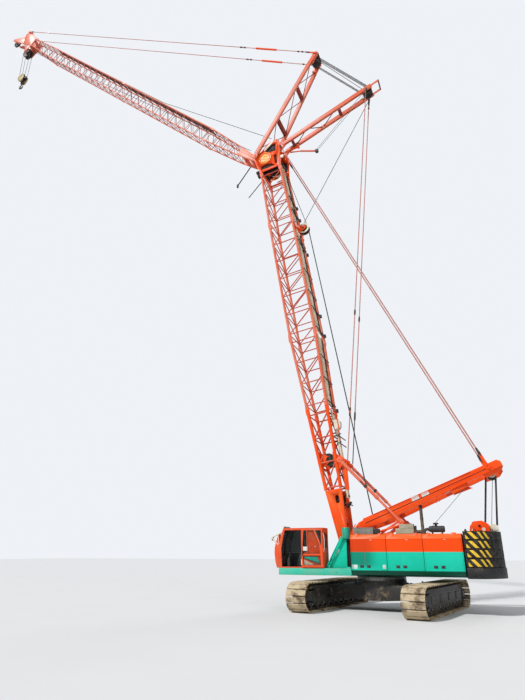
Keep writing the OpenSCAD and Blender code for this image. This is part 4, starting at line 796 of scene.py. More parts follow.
def buildUndercarriage():
    form = baseForm
    turned = turnZ(lines["trackTurn"])
    extras = []
    for sx in (-1, 1):
        for sy in (-1, 1):
            # bolted flanges where the cross beams meet the track frames
            x, y = sx * 0.4, sy * 1.105
            extras.append(newBox((x - 0.15, y - 0.006, 0.225), (x + 0.15, y + 0.006, 0.455), 0.003, turned))
            for dx in (-0.135, 0.135):
                for z in (0.25, 0.3, 0.38, 0.43):
                    extras.append(newRod((x + dx, y - 0.012 * sy, z), (x + dx, y - 0.03 * sy, z), 0.011, 6,
                        place=turned))
            # lifting ear on each beam
            extras.append(newPlate([(x - 0.05, 0.49), (x + 0.05, 0.49), (x + 0.03, 0.585), (x - 0.03, 0.585)],
                                   sy * 0.8 - 0.012, sy * 0.8 + 0.012, 0.004, turned))
    soften("car_body", form["edge"], "frameDark", "undercarriage", extras)
    soften("slew_ring", 0.002, "ring", "undercarriage")
    for side in ("left", "right"):
        place = trackPlaces[side]
        covers = []
        for x in (-0.95, -0.32, 0.32, 0.95):
            for y in (-0.144, 0.144):
                low, high = sorted((y, y * 0.95))
                covers.append(newBox((x - 0.13, low, 0.235), (x + 0.13, high, 0.385), 0.004, place))
                for dx in (-0.11, 0.11):
                    for z in (0.25, 0.31, 0.37):
                        covers.append(newRod((x + dx, y, z), (x + dx, y * 1.055, z), 0.009, 6, place=place))
        for x in (-1.1, -0.6, 0.0, 0.6, 1.1):
            covers.append(newBox((x - 0.012, -0.137, 0.452), (x + 0.012, 0.137, 0.47), 0.003, place))
        # guard under the upper run
        covers.append(newPlate([(-1.34, 0.445), (-1.28, 0.512), (1.28, 0.512), (1.34, 0.445)], -0.137, 0.137, 0.006,
            place))
        soften("track_frame_" + side, 0.005, "frameDark", "undercarriage", covers)
        soften("end_wheels_" + side, 0.003, "link", "undercarriage")


# upper frame, side deck and winches
drumForm = dict(radius=0.15, flange=0.215, halfWidth=0.228, middles=dict(front_winch=0.13, rear_winch=-0.62),
    height=0.983, coils=17, rope=0.0115)


def newDrum(radius, half, flange, coils, rope, axle):
    # a grooved rope layer with two turned flanges; heights run across the machine
    profile = [(axle, -half + 0.02), (radius - rope, -half + 0.02)]
    step = (2 * half - 0.09) / coils
    for i in range(coils):
        middle = -half + 0.045 + step * (i + 0.5)
        profile += [(radius - rope + rope * math.sin(a), middle - step / 2 * math.cos(a)) for a in (0.35, 1.0, 1.57,
            2.14, 2.79)]
    profile += [(radius - rope, half - 0.02), (axle, half - 0.02)]
    layer = turnedAcross(profile, 0, 0, 0, 40)
    side = turnedAcross([(axle, half - 0.018), (axle + 0.03, half - 0.008), (flange * 0.55, half - 0.006),
        (flange * 0.6, half - 0.014), (flange * 0.86, half - 0.014), (flange * 0.9, half - 0.004),
        (flange, half - 0.006), (flange, half - 0.03), (flange * 0.8, half - 0.034), (axle, half - 0.034)], 0, 0, 0,
        48)
    return layer, bothSides(side, *boltCircle(flange * 0.42, half - 0.01, half + 0.002, 0.01, 8))


def buildWinches():
    form = drumForm
    for body, x in form["middles"].items():
        place = move(x, 0, form["height"])
        layer, flanges = newDrum(form["radius"], form["halfWidth"], form["flange"], form["coils"], form["rope"], 0.04)
        axle = across(0.04, 2 * form["halfWidth"] + 0.05, 0, 0)
        shift(place, layer, flanges, axle)
        dress(body + "Rope", layer, "rope", body)
        node = "winch_" + body.split("_")[0]
        dress(body + "Drum", [flanges, axle], "winch", body, node)
    place = boomPlace @ move(2.15, 0, 0)
    layer, flanges = newDrum(0.11, 0.222, 0.15, 19, 0.009, 0.03)
    axle = across(0.03, 0.5, 0, 0)
    motor = turnedAcross([(0, 0.222), (0.075, 0.222), (0.08, 0.228), (0.08, 0.24), (0.05, 0.248), (0, 0.25)], 0, 0, 0,
        32)
    shift(place, layer, flanges, axle, motor)
    dress("jibWinchRope", layer, "rope", "jib_winch")
    dress("jibWinchDrum", [flanges, axle, motor], "winch", "jib_winch", "jib_winch")


frameForm = dict(edge=0.006, pinX=0.725, pinZ=1.225, deckFront=2.18, deckRear=0.49, deckTop=0.86)


def buildUpperFrame():
    form = frameForm
    x, z = form["pinX"], form["pinZ"]
    extras = []
    # pin caps with their keeper plates and bolts
    for y in (0.426, 0.2285):
        low, high = (y, y + 0.016) if y > 0.3 else (y - 0.014, y)
        extras.append(newTurned([(0, low), (0.072, low), (0.072, high - 0.004), (0.066, high), (0, high)], 32,
                                move(x, 0, z) @ turnX(-90)))
    extras += boltCircle(0.05, 0.44, 0.45, 0.008, 6, x, z)
    # ribs on the outer brackets and a row of bolts along the floor plate
    extras.append(newBox((0.6, 0.368, 0.74), (0.625, 0.398, 1.02), 0.004))
    extras.append(newBox((0.8, 0.368, 0.74), (0.825, 0.398, 0.92), 0.004))
    for i in range(14):
        bx = -1.78 + i * 0.16
        extras.append(newRod((bx, 0.345, 0.738), (bx, 0.345, 0.75), 0.012, 6))
    frameSide = bothSides(*extras)
    # the frame in the darker green: painted shade
    soften("upper_frame", form["edge"], "frameShadedGreen", extra=[frameSide])

    # deck: rolled edge, tread strips and lashing eyes
    front, rear, top = form["deckFront"], form["deckRear"], form["deckTop"]
    rim = [newRod((rear + 0.01, 0.814, top - 0.004), (front - 0.01, 0.814, top - 0.004), 0.006, 10),
           newBox((rear, 0.806, top - 0.145), (front, 0.8195, top - 0.125), 0.003)]
    for i in range(6):
        ex = rear + 0.16 + i * 0.28
        rim.append(newBox((ex, 0.8165, top - 0.118), (ex + 0.012, 0.8195, top - 0.01), 0.002))
    soften("side_deck", 0.005, "deckGreen", extra=[bothSides(*rim)])
    tread = []
    for i in range(7):
        tx = rear + 0.03 + i * 0.088
        tread.append(newBox((tx, 0.46, top), (tx + 0.074, 0.8, top + 0.006), 0.002))
    both = bothSides(*tread)
    more = [newBox((1.15 + i * 0.12, -0.8, top), (1.255 + i * 0.12, -0.46, top + 0.006), 0.002) for i in range(8)]
    dress("deckTread", [both, *more], "grating")


buildUndercarriage()
buildWinches()
buildUpperFrame()
print("lower parts built")

# machine house, doors and roof gear
houseForm = dict(front=0.485, rear=-1.86, outer=0.8, inner=0.3, low=0.7383, top=1.56, sill=0.066, sheet=0.015)


def seamAt(i):
    f = houseForm
    return f["front"] - f["sheet"] + (f["rear"] - f["front"] + 2 * f["sheet"]) * i / 3


def buildHouse():
    f = houseForm
    trim = []
    # roof seams and the front wall's frame
    for x in (-1.45, -0.95, -0.45, 0.05):
        trim.append(newBox((x - 0.012, f["inner"] + 0.01, f["top"] - 0.001), (x + 0.012, f["outer"] - 0.075,
            f["top"] + 0.006), 0.002))
    for y in (0.31, 0.72):
        trim.append(newBox((f["front"] - 0.001, y, 0.82), (f["front"] + 0.008, y + 0.022, 1.5), 0.002))
    trim += [newBox((f["front"] - 0.001, 0.34, z), (f["front"] + 0.006, 0.72, z + 0.014), 0.002) for z in (0.84, 1.05,
        1.26, 1.47)]
    for x in (-1.7, -1.1, -0.5, 0.1):
        trim.append(newBox((x, f["outer"] - f["sill"] - 0.02, f["low"] - 0.002), (x + 0.12, f["outer"] - f["sill"],
            f["low"] + 0.004), 0.001))
    sideTrim = joinPieces("trim", trim)
    for side in ("left", "right"):
        soften("house_" + side, 0.006, "house", extra=[duplicate(sideTrim, still if side == "left" else flipY)])
    bpy.data.objects.remove(sideTrim)


latchForm = dict(low=0.88, high=0.934, size=0.078, first=0.218, second=0.366)


def buildDoors():
    f = houseForm
    y = f["outer"]
    for side in ("left", "right"):
        for i in (1, 2, 3):
            x0, x1 = seamAt(i) + 0.005, seamAt(i - 1) - 0.005
            body = f"{side}_door_{i}"
            # pressed border
            metal = [newBox((x0 + 0.02, y - 0.002, z), (x1 - 0.02, y + 0.003, z + 0.01), 0.0015) for z in (0.835,
                1.452)]
            metal += [newBox((x - 0.005, y - 0.002, 0.835), (x + 0.005, y + 0.003, 1.462),
                0.0015) for x in (x0 + 0.025, x1 - 0.025)]
            # sunk latches with their handles, and the blank white plates
            low, high, half = latchForm["low"], latchForm["high"], latchForm["size"] / 2
            grey = []
            for lx in (x1 - latchForm["first"], x1 - latchForm["second"]):
                grey.append(newBox((lx - half, y - 0.002, low), (lx + half, y + 0.006, high), 0.003))
                grey.append(newBox((lx - half + 0.008, y + 0.005, low + 0.008), (lx + half - 0.02, y + 0.011,
                    low + 0.022), 0.003))
                grey.append(newRod((lx + half - 0.013, y + 0.005, low + 0.024), (lx + half - 0.013, y + 0.01,
                    low + 0.024), 0.006, 12))
            plates = [newBox((x1 - 0.118, y - 0.001, 0.856), (x1 - 0.006, y + 0.003, 0.94), 0.002),
                      newBox((x0 + 0.026, y - 0.001, 0.862), (x0 + 0.094, y + 0.003, 0.942), 0.002)] if i == 1 else []
            plates.append(newBox((x0 + 0.3, y - 0.001, 1.44), (x0 + 0.34, y + 0.003, 1.45), 0.001))
            if side == "right" and i > 1:
                # louvres that let the engine's air through
                for z in (1.02 + k * 0.045 for k in range(9)):
                    metal.append(newPlate([(x0 + 0.12, z), (x1 - 0.12, z), (x1 - 0.13, z + 0.022),
                        (x0 + 0.13, z + 0.022)], y - 0.002, y + 0.01, 0.003))
            pieces = [joinPieces("metal", metal), joinPieces("grey", grey), joinPieces("plates", plates)]
            if side == "right":
                shift(flipY, *pieces)
            soften(f"door_{side}_{i}", 0.003, "house", body, [pieces[0]])
            dress(body + "Latches", pieces[1], "black", body)
            dress(body + "Plates", pieces[2], "plate", body)


buildHouse()
buildDoors()
print("house built")

gearForm = dict(y=0.648, roof=1.5603)


def buildRoofGear():
    y, z = gearForm["y"], gearForm["roof"]
    grey = [newBox((-0.025, y - 0.06, z), (0.43, y + 0.06, z + 0.142), 0.006), newBox((-0.03, y - 0.066, z + 0.138),
        (0.436, y + 0.066, z + 0.15), 0.004)]
    grey += [newBox((x, y + 0.058, z + 0.012), (x + 0.006, y + 0.063, z + 0.135), 0.002) for x in (0.02, 0.125, 0.23,
        0.335, 0.4)]
    dress("filterBox", grey, "grey", node="roof_gear")
    dark = [newBox((-0.16, y - 0.05, z), (-0.03, y + 0.05, z + 0.12), 0.005)]
    dark += [newBox((-0.152 + k * 0.022, y + 0.048, z + 0.015), (-0.142 + k * 0.022, y + 0.054, z + 0.108),
        0.002) for k in range(6)]
    dark.append(newTurned([(0.026, 0.0), (0.026, 0.012), (0.044, 0.0), (0.06, 0.006), (0.06, 0.018), (0.044, 0.03),
        (0, 0.034), (0, 0)], 32, move(-1.37, y, z + 0.192)))
    dark.append(newRod((-1.37, y, z + 0.15), (-1.37, y, z + 0.2), 0.026, 24))
    cleaner = [(0, 0), (0.05, 0.0), (0.066, 0.014), (0.066, 0.06), (0.0685, 0.062), (0.0685, 0.072), (0.066, 0.074),
        (0.066, 0.25), (0.0685, 0.252), (0.0685, 0.262), (0.066, 0.264), (0.06, 0.31), (0.05, 0.325), (0, 0.325)]
    dark.append(newTurned(cleaner, 40, move(-1.545, y, z + 0.095) @ turnY(90)))
    dark += [newPlate([(x, z), (x + 0.03, z), (x + 0.03, z + 0.06), (x, z + 0.06)], y - 0.045, y + 0.045,
        0.003) for x in (-1.5, -1.3)]
    # the curved pipe from the cleaner to the engine, and straps round the cleaner
    dark.append(newCable([(-1.225, y, z + 0.095), (-1.17, y, z + 0.098), (-1.135, y, z + 0.08), (-1.12, y, z + 0.045),
        (-1.118, y, z + 0.0)], 0.03, sides=4))
    dress("airCleaner", dark, "black")
    cream = [newBox((-0.905, y - 0.06, z), (-0.52, y + 0.06, z + 0.12), 0.008), newBox((-0.905, y - 0.06, z + 0.1),
        (-0.6, y + 0.06, z + 0.205), 0.01), newBox((-0.91, y - 0.065, z + 0.186), (-0.595, y + 0.065, z + 0.208),
        0.006)]
    cream += [newBox((-0.885, y + 0.058, z + 0.02 + k * 0.026), (-0.61, y + 0.064, z + 0.032 + k * 0.026),
        0.002) for k in range(6)]
    dress("coolerBox", cream, "cream")
    pipe = [newTurned([(0.028, 0.05), (0.034, 0.05), (0.034, 0.3), (0.038, 0.305), (0.038, 0.33), (0.034, 0.335),
        (0.034, 0.555), (0.04, 0.56), (0.04, 0.594), (0.033, 0.596), (0.03, 0.56), (0.028, 0.3)], 32,
        move(-1.09, y, z))]
    pipe.append(newTurned([(0, 0), (0.044, 0), (0.044, 0.014), (0.034, 0.018), (0.034, 0.07), (0, 0.07)], 32,
        move(-1.09, y, z)))
    pipe.append(newTurned([(0, 0), (0.034, 0), (0.038, 0.01), (0.038, 0.155), (0.034, 0.165), (0, 0.165)], 32,
        move(-1.09, y, z + 0.044) @ turnY(90)))
    pipe.append(newTurned([(0, 0), (0.042, 0), (0.042, 0.012), (0.034, 0.016), (0.034, 0.15), (0.036, 0.152),
        (0.036, 0.17), (0.026, 0.17), (0.026, 0.16), (0, 0.16)], 32, move(-0.93, y, z)))
    dress("exhaust", pipe, "exhaust")

    # the engine block behind the right-hand doors
    x0, x1, y0, y1, z0 = -1.5, -0.6, -0.675, -0.345, 0.8046
    block = [newBox((x0, y0 + 0.03, z0), (x1, y1 - 0.03, z0 + 0.3), 0.012), newBox((x0 + 0.1, y0 + 0.05, z0 + 0.29),
        (x1 - 0.16, y1 - 0.05, z0 + 0.4), 0.014)]
    for k in range(6):
        hx = x0 + 0.16 + k * 0.105
        block.append(newBox((hx, y0 + 0.012, z0 + 0.2), (hx + 0.07, y0 + 0.045, z0 + 0.3), 0.008))
        block.append(newRod((hx + 0.035, y0 + 0.09, z0 + 0.395), (hx + 0.035, y0 + 0.09, z0 + 0.418), 0.02, 20,
            0.003))
    block.append(turnedAcross([(0, 0), (0.085, 0), (0.085, 0.05), (0.03, 0.06), (0, 0.06)], x0 + 0.12, z0 + 0.14,
        y0 + 0.0, 36))
    block.append(newCable([(x1 - 0.05, y0 + 0.1, z0 + 0.3), (x1 - 0.04, y0 + 0.1, z0 + 0.4),
        (x1 - 0.12, y0 + 0.1, z0 + 0.415), (x1 - 0.25, y0 + 0.1, z0 + 0.36)], 0.018))
    dress("engineBlock", block, "engine", node="engine")


buildRoofGear()


# boom
boomForm = dict(chord=0.036, lace=0.015, ends=0.13,
    sections=[(3.45, 0.385, -0.262, 0.262), (5.55, 0.415, -0.36, 0.36), (9.4, 0.415, -0.36, 0.36),
        (11.45, 0.415, -0.324, 0.3168)],
    bays=(3, 6, 3), names=("boom_taper", "boom_middle", "boom_upper"))
jibForm = dict(chord=0.022, lace=0.01, ends=0.09, sections=[(2.7, 0.24, -0.25, 0.25), (8.55, 0.24, -0.25, 0.25),
    (14.4, 0.24, -0.25, 0.25)], bays=(11, 11), names=("jib_middle", "jib_upper"), frontSheave=(18.13, -0.357),
    lowSheave=(16.66, -0.56))


def corner(c, side, top):
    return (c[0], side * c[1], c[3] if top else c[2])


def latticeBars(start, end, bays, chord, lace, ends, inset=0.012):
    run = end[0] - start[0]

    def at(distance):
        return [a + (b - a) * distance / run for a, b in zip(start, end)]

    first, last = at(inset), at(run - inset)
    chords = [(corner(first, side, top), corner(last, side, top), chord) for side in (-1, 1) for top in (False, True)]
    laces, welds = [], []
    stops = [ends[0] + (run - ends[0] - ends[1]) * i / bays for i in range(bays + 1)]
    for i, stop in enumerate(stops):
        a = at(stop)
        b = at(stops[i + 1]) if i < bays else None
        for side in (-1, 1):
            laces.append((corner(a, side, False), corner(a, side, True), lace))
            if b:
                laces.append((corner(a, side, False), corner(b, side, True), lace))
        for top in (False, True):
            laces.append((corner(a, -1, top), corner(a, 1, top), lace))
            if b:
                laces.append((corner(a, -1, top), corner(b, 1, top), lace))
        for side in (-1, 1):
            for top in (False, True):
                x, y, z = corner(a, side, top)
                slope = Vector(corner(last, side, top)) - Vector(corner(first, side, top))
                slope.normalize()
                middle = Vector((x, y, z))
                welds.append((middle - slope * lace * 2.2, middle + slope * lace * 2.2, chord * 1.05))
    return chords, laces, welds


def newLattice(name, start, end, bays, chord, lace, ends, place, body, node, extras=(), braceFinish="brace"):
    chords, laces, welds = latticeBars(start, end, bays, chord, lace, ends)
    tubes = joinPieces("tubes", [newBars(chords, 20), newBars(welds, 20)])
    braces = newBars(laces, 10)
    shift(place, tubes, braces)
    # the braces take a darker finish than the chords: painted shade
    dress(name + "Braces", braces, braceFinish, body)
    return dress(name, [tubes, *extras], "lattice", body, node)


def connectors(section, size, place):
    # fork, tongue and pin at the four corners of a joint between two sections
    tongue = newPlate([(-0.15, -0.6), (-0.1, -1.0), (1.9, -1.0), (2.7, -0.75), (2.7, 0.75), (1.9, 1.0), (-0.1, 1.0),
        (-0.15, 0.6)], -0.28, 0.28, 0)
    cheek = newPlate([(-2.7, -0.75), (-1.9, -1.0), (0.5, -1.0), (0.95, -0.55), (0.95, 0.55), (0.5, 1.0), (-1.9, 1.0),
        (-2.7, 0.75)], 0.32, 0.62, 0)
    neck = newRod((-2.7, 0, 0), (-1.3, 0, 0), 0.7, 16)
    neckAhead = newRod((1.3, 0, 0), (2.7, 0, 0), 0.7, 16)
    pin = newRod((0.25, -0.8, 0), (0.25, 0.8, 0), 0.42, 16)
    head = newRod((0.25, 0.62, 0), (0.25, 0.74, 0), 0.6, 6)
    link = joinPieces("connector", [tongue, cheek, mirrored(cheek), neck, neckAhead, pin, head, mirrored(head)])
    piece = stamp(link, [place @ move(*corner(section, side, top)) @ Matrix.Scale(size, 4) for side in (-1,
        1) for top in (False, True)])
    return roundEdges(piece, 0.0025, 1)


def buildBoom():
    f = boomForm
    joints = {i: connectors(section, 0.048, boomPlace) for i, section in enumerate(f["sections"])}
    for i, name in enumerate(f["names"]):
        newLattice(name + "Bars", f["sections"][i], f["sections"][i + 1], f["bays"][i], f["chord"], f["lace"],
            (f["ends"], f["ends"]), boomPlace, "boom", name, [joints[i + 1]])

    # foot section: side plates, cross boxes, short lattice and the winch cradle
    sides = newPlate([(-0.02, -0.115), (0.276, -0.112), (1.4, -0.215), (1.4, 0.205), (0.276, 0.125), (-0.02, 0.115)],
        0.27, 0.33, 0.008)
    ring = turnedAcross([(0.0455, 0.27), (0.115, 0.27), (0.115, 0.33), (0.0455, 0.33)], 0, 0, 0, 48)
    collar = turnedAcross([(0.0455, 0.262), (0.08, 0.262), (0.08, 0.338), (0.0455, 0.338)], 0, 0, 0, 40)
    ribs = [newPlate([(0.22, -0.09), (1.3, -0.175), (1.3, -0.16), (0.22, -0.075)], 0.326, 0.337, 0.003),
            newPlate([(0.22, 0.095), (1.3, 0.165), (1.3, 0.18), (0.22, 0.11)], 0.326, 0.337, 0.003)]
    # long oval opening near the plate's end, shown by its welded rim; the dark inside is a plate behind it, painted
    # shade
    oval = [(1.112 + 0.048 * math.cos(a),
        0.049 + 0.048 * math.sin(a)) for a in (math.radians(90 + 15 * k) for k in range(13))]
    oval += [(1.212 + 0.048 * math.cos(a),
        0.049 + 0.048 * math.sin(a)) for a in (math.radians(-90 + 15 * k) for k in range(13))]
    cutOut(sides, newPlate(oval, 0.2, 0.4, 0))
    ears = newPlate([(1.8, 0.15), (2.3, 0.15), (2.095, 0.4), (1.95, 0.4)], 0.274, 0.326, 0.006)
    pin = newRod((2.015, 0.27, 0.347), (2.015, 0.586, 0.347), 0.03, 24, 0.003)
    stopRing = newRod((2.015, 0.505, 0.347), (2.015, 0.518, 0.347), 0.042, 24, 0.003)
    cradle = newPlate([(1.93, -0.23), (2.37, -0.23), (2.2, 0.05), (2.1, 0.05)], 0.222, 0.246, 0.004)
    half = joinPieces("half", [sides, ring, collar, *ribs, ears, pin, stopRing, cradle])
    both = bothSides(half)
    # dark backing behind the ovals as painted shade, the foot's own walkway and the box on its back
    backing = bothSides(newBox((1.04, 0.262, -0.01), (1.285, 0.268, 0.105), 0.002))
    shift(boomPlace, backing)
    dress("boomFootBacking", backing, "darkInside", "boom")
    floor, bars = [], []
    for s0, n0, s1, n1 in ((1.16, 0.262, 1.78, 0.296), (1.8, 0.3, 2.62, 0.33), (2.66, 0.31, 3.36, 0.3)):
        slope = move(s0, 0, n0) @ turnY(-math.degrees(math.atan2(n1 - n0, s1 - s0)))
        floor.append(newBox((0, -0.05, 0), (s1 - s0, 0.255, 0.014), 0.003, slope))
        floor.append(newBox((0, 0.245, 0), (s1 - s0, 0.255, 0.045), 0.002, slope))
        bars += [newBox((x, -0.05, 0.012), (x + 0.03, 0.24, 0.024), 0.003, slope) for x in (0.04, s1 - s0 - 0.07)]
        bars += [newBox((x, y, -0.1), (x + 0.03, y + 0.02, 0.004), 0.003, slope) for x in (0.08,
            s1 - s0 - 0.1) for y in (-0.04, 0.22)]
    bars += [newRod((s, -0.3, n), (s, 0.4, n), 0.014, 12, 0.002) for s, n in ((2.64, 0.4), (2.46, 0.385),
        (1.02, 0.245))]
    bars += [newRod((2.64, 0.38, 0.3), (2.67, 0.38, 0.48), 0.014, 12, 0.002), newRod((0.95, 0.1, 0.2),
        (1.05, 0.16, 0.33), 0.03, 14, 0.004)]
    box = [newBox((2.8, 0.24, 0.345), (3.04, 0.4, 0.455), 0.012), newPlate([(2.8, 0.455), (3.04, 0.455),
        (2.98, 0.515), (2.86, 0.505)], 0.25, 0.39, 0.01)]
    lid = [newBox((2.8, 0.238, 0.44), (3.06, 0.405, 0.462), 0.005), newPlate([(1.324, 0.372), (1.989, 0.448),
        (1.99, 0.32), (1.35, 0.28)], 0.256, 0.268, 0.004)]
    shift(boomPlace, *floor, *bars, *box, *lid)
    dress("boomFootWalkway", floor, "walkway", "boom")
    dress("boomFootWalkwayBars", bars, "black", "boom")
    dress("boomFootBox", box, "paleSheave", "boom")
    dress("boomFootBoxLid", lid, "orange", "boom")
    middle = [newBox((x, -0.271, -0.09), (x + 0.11, 0.271, 0.09), 0.008) for x in (0.62, 1.29)]
    middle += [newBox((x, -0.322, -0.236), (x + 0.06, 0.322, -0.192), 0.006) for x in (1.93, 2.31)]
    chords, laces, welds = latticeBars((1.4, 0.3, -0.19, 0.18), f["sections"][0], 3, 0.042, 0.019, (0.06, 0.14))
    bars = [newBars(chords, 20), newBars(welds, 20)]
    braces = newBars(laces, 12)
    shift(boomPlace, both, *middle, *bars, braces)
    dress("boomFootShape", [both, *middle, *bars, joints[0]], "orange", "boom", "boom_foot")
    # the foot's braces in the darker brace finish: painted shade
    dress("boomFootBraces", braces, "brace", "boom")


headForm = dict(sheaveAt=(11.9, 0.06), sheaveRadius=0.25, rows=(-0.19, -0.13, -0.07, 0.07, 0.13, 0.19),
    disc=(11.99, -0.107))


def buildBoomHead():
    form = headForm
    head = softened("boom_head", 0.006)
    for outline in (((12.16, 0.0), (12.3, -0.06), (12.44, 0.14), (12.44, 0.33), (12.12, 0.29)),
            ((11.62, 0.19), (11.98, 0.19), (11.98, 0.29), (11.62, 0.26)), ((11.57, -0.3), (11.74, -0.29),
            (11.755, -0.16), (11.755, -0.06), (11.7, 0.06), (11.6, 0.16), (11.57, 0.16))):
        for sign in (-1, 1):
            cutOut(head, newPlate(outline, *sorted((sign * 0.375, sign * 0.5)), 0, boomPlace))
    # the far plate's low end and the bar behind it stay open to the lattice
    cutOut(head, newPlate([(11.56, -0.27), (11.85, -0.27), (11.85, 0.25), (11.56, 0.25)], -0.5, -0.375, 0, boomPlace))
    cutOut(head, newPlate([(11.55, -0.09), (11.63, -0.09), (11.63, 0.23), (11.55, 0.23)], -0.374, 0.374, 0,
        boomPlace))
    dress("boomHeadShape", head, "orange", "boom", "boom_head")
    # linings and the sheave guards, in near-black as painted shade inside the head
    dark = [newPlate([(11.53, -0.33), (11.93, -0.42), (12.19, -0.44), (12.24, -0.2), (12.46, 0.12), (12.46, 0.38),
        (12.05, 0.38), (11.53, 0.32)], 0.384, 0.39, 0.001)]
    dark += [newPlate([(11.54, -0.28), (11.72, -0.24), (11.7, 0.24), (11.54, 0.26)], 0.235, 0.243, 0.002),
             newPlate([(12.1, -0.1), (12.3, -0.05), (12.42, 0.14), (12.42, 0.36), (12.1, 0.36)], 0.25, 0.258, 0.002)]
    dark.append(newPlate([(11.86, -0.36), (12.19, -0.44), (12.24, -0.2), (12.46, 0.12), (12.46, 0.38), (12.05, 0.38),
        (11.86, 0.33)], -0.39, -0.384, 0.001))
    dark += [newBox((11.6 + k * 0.05, -0.36, -0.345 + 0.02 * (k % 2)), (11.63 + k * 0.05, 0.36, -0.3),
        0.003) for k in range(6)]
    # hanging blocks under the head's front edge
    dark += [newBox((11.42, 0.26, -0.475), (11.53, 0.38, -0.385), 0.012), newBox((11.7, 0.14, -0.545),
        (11.79, 0.24, -0.43), 0.012), newRod((11.62, 0.2, -0.33), (11.76, 0.2, -0.5), 0.016, 12),
        newRod((11.52, 0.32, -0.33), (11.5, 0.32, -0.44), 0.016, 12)]
    rails = [newRod((11.6, -0.4, -0.315), (11.6, 0.4, -0.315), 0.013, 12), newRod((11.6, 0.4, -0.26),
        (11.56, 0.4, 0.14), 0.012, 12)]
    # the pale slanted bars in the front opening and the lamp on the post
    pale = [newPlate([(12.275, -0.075), (12.325, -0.105), (12.45, 0.075), (12.575, 0.285), (12.52, 0.305),
        (12.4, 0.12)], 0.405, 0.44, 0.006)]
    pale += [newTurned([(0, -0.018), (0.052, -0.018), (0.06, 0), (0.052, 0.018), (0, 0.018)], 28,
        move(11.78, 0.44, 0.455) @ turnX(90))]
    shift(boomPlace, *dark, *rails, *pale)
    dress("boomHeadInside", dark, "darkInside", "boom")
    dress("boomHeadRails", rails, "lattice", "boom")
    dress("boomHeadPaleBars", pale, "paleSheave", "boom")
    # the ringed disc: a dished pressing with stripes
    disc = turnedAcross([(0.0, 0.4445), (0.19, 0.4445), (0.194, 0.455), (0.206, 0.4565), (0.2135, 0.452),
        (0.2135, 0.4405), (0.0, 0.4405)], *form["disc"], 0, 56, boomPlace)
    dress("headDisc", [bothSides(disc)], "disc", "boom")
    sheaves = [newSheave(form["sheaveRadius"], 0.052, 0.0345, *form["sheaveAt"], y, boomPlace) for y in form["rows"]]
    dress("boomHeadSheaves", sheaves[1:5], "sheave", "boom_head_sheaves", "boom_head_sheaves")
    dress("boomHeadPaleSheaves", [sheaves[0], sheaves[5]], "paleSheave", "boom_head_sheaves")


def newSheave(radius, width, bore, x, z, y=0.0, place=still):
    w = width / 2
    profile = [(bore, -w), (bore * 2.1, -w), (bore * 2.1, -w * 0.45), (radius * 0.74, -w * 0.35),
        (radius * 0.82, -w * 0.95), (radius, -w), (radius, -w * 0.74), (radius - width * 0.26, -w * 0.35),
        (radius - width * 0.3, 0), (radius - width * 0.26, w * 0.35), (radius, w * 0.74), (radius, w),
        (radius * 0.82, w * 0.95), (radius * 0.74, w * 0.35), (bore * 2.1, w * 0.45), (bore * 2.1, w), (bore, w)]
    return turnedAcross(profile, x, z, y, 48, place)


buildBoom()
buildBoomHead()
print("boom built")


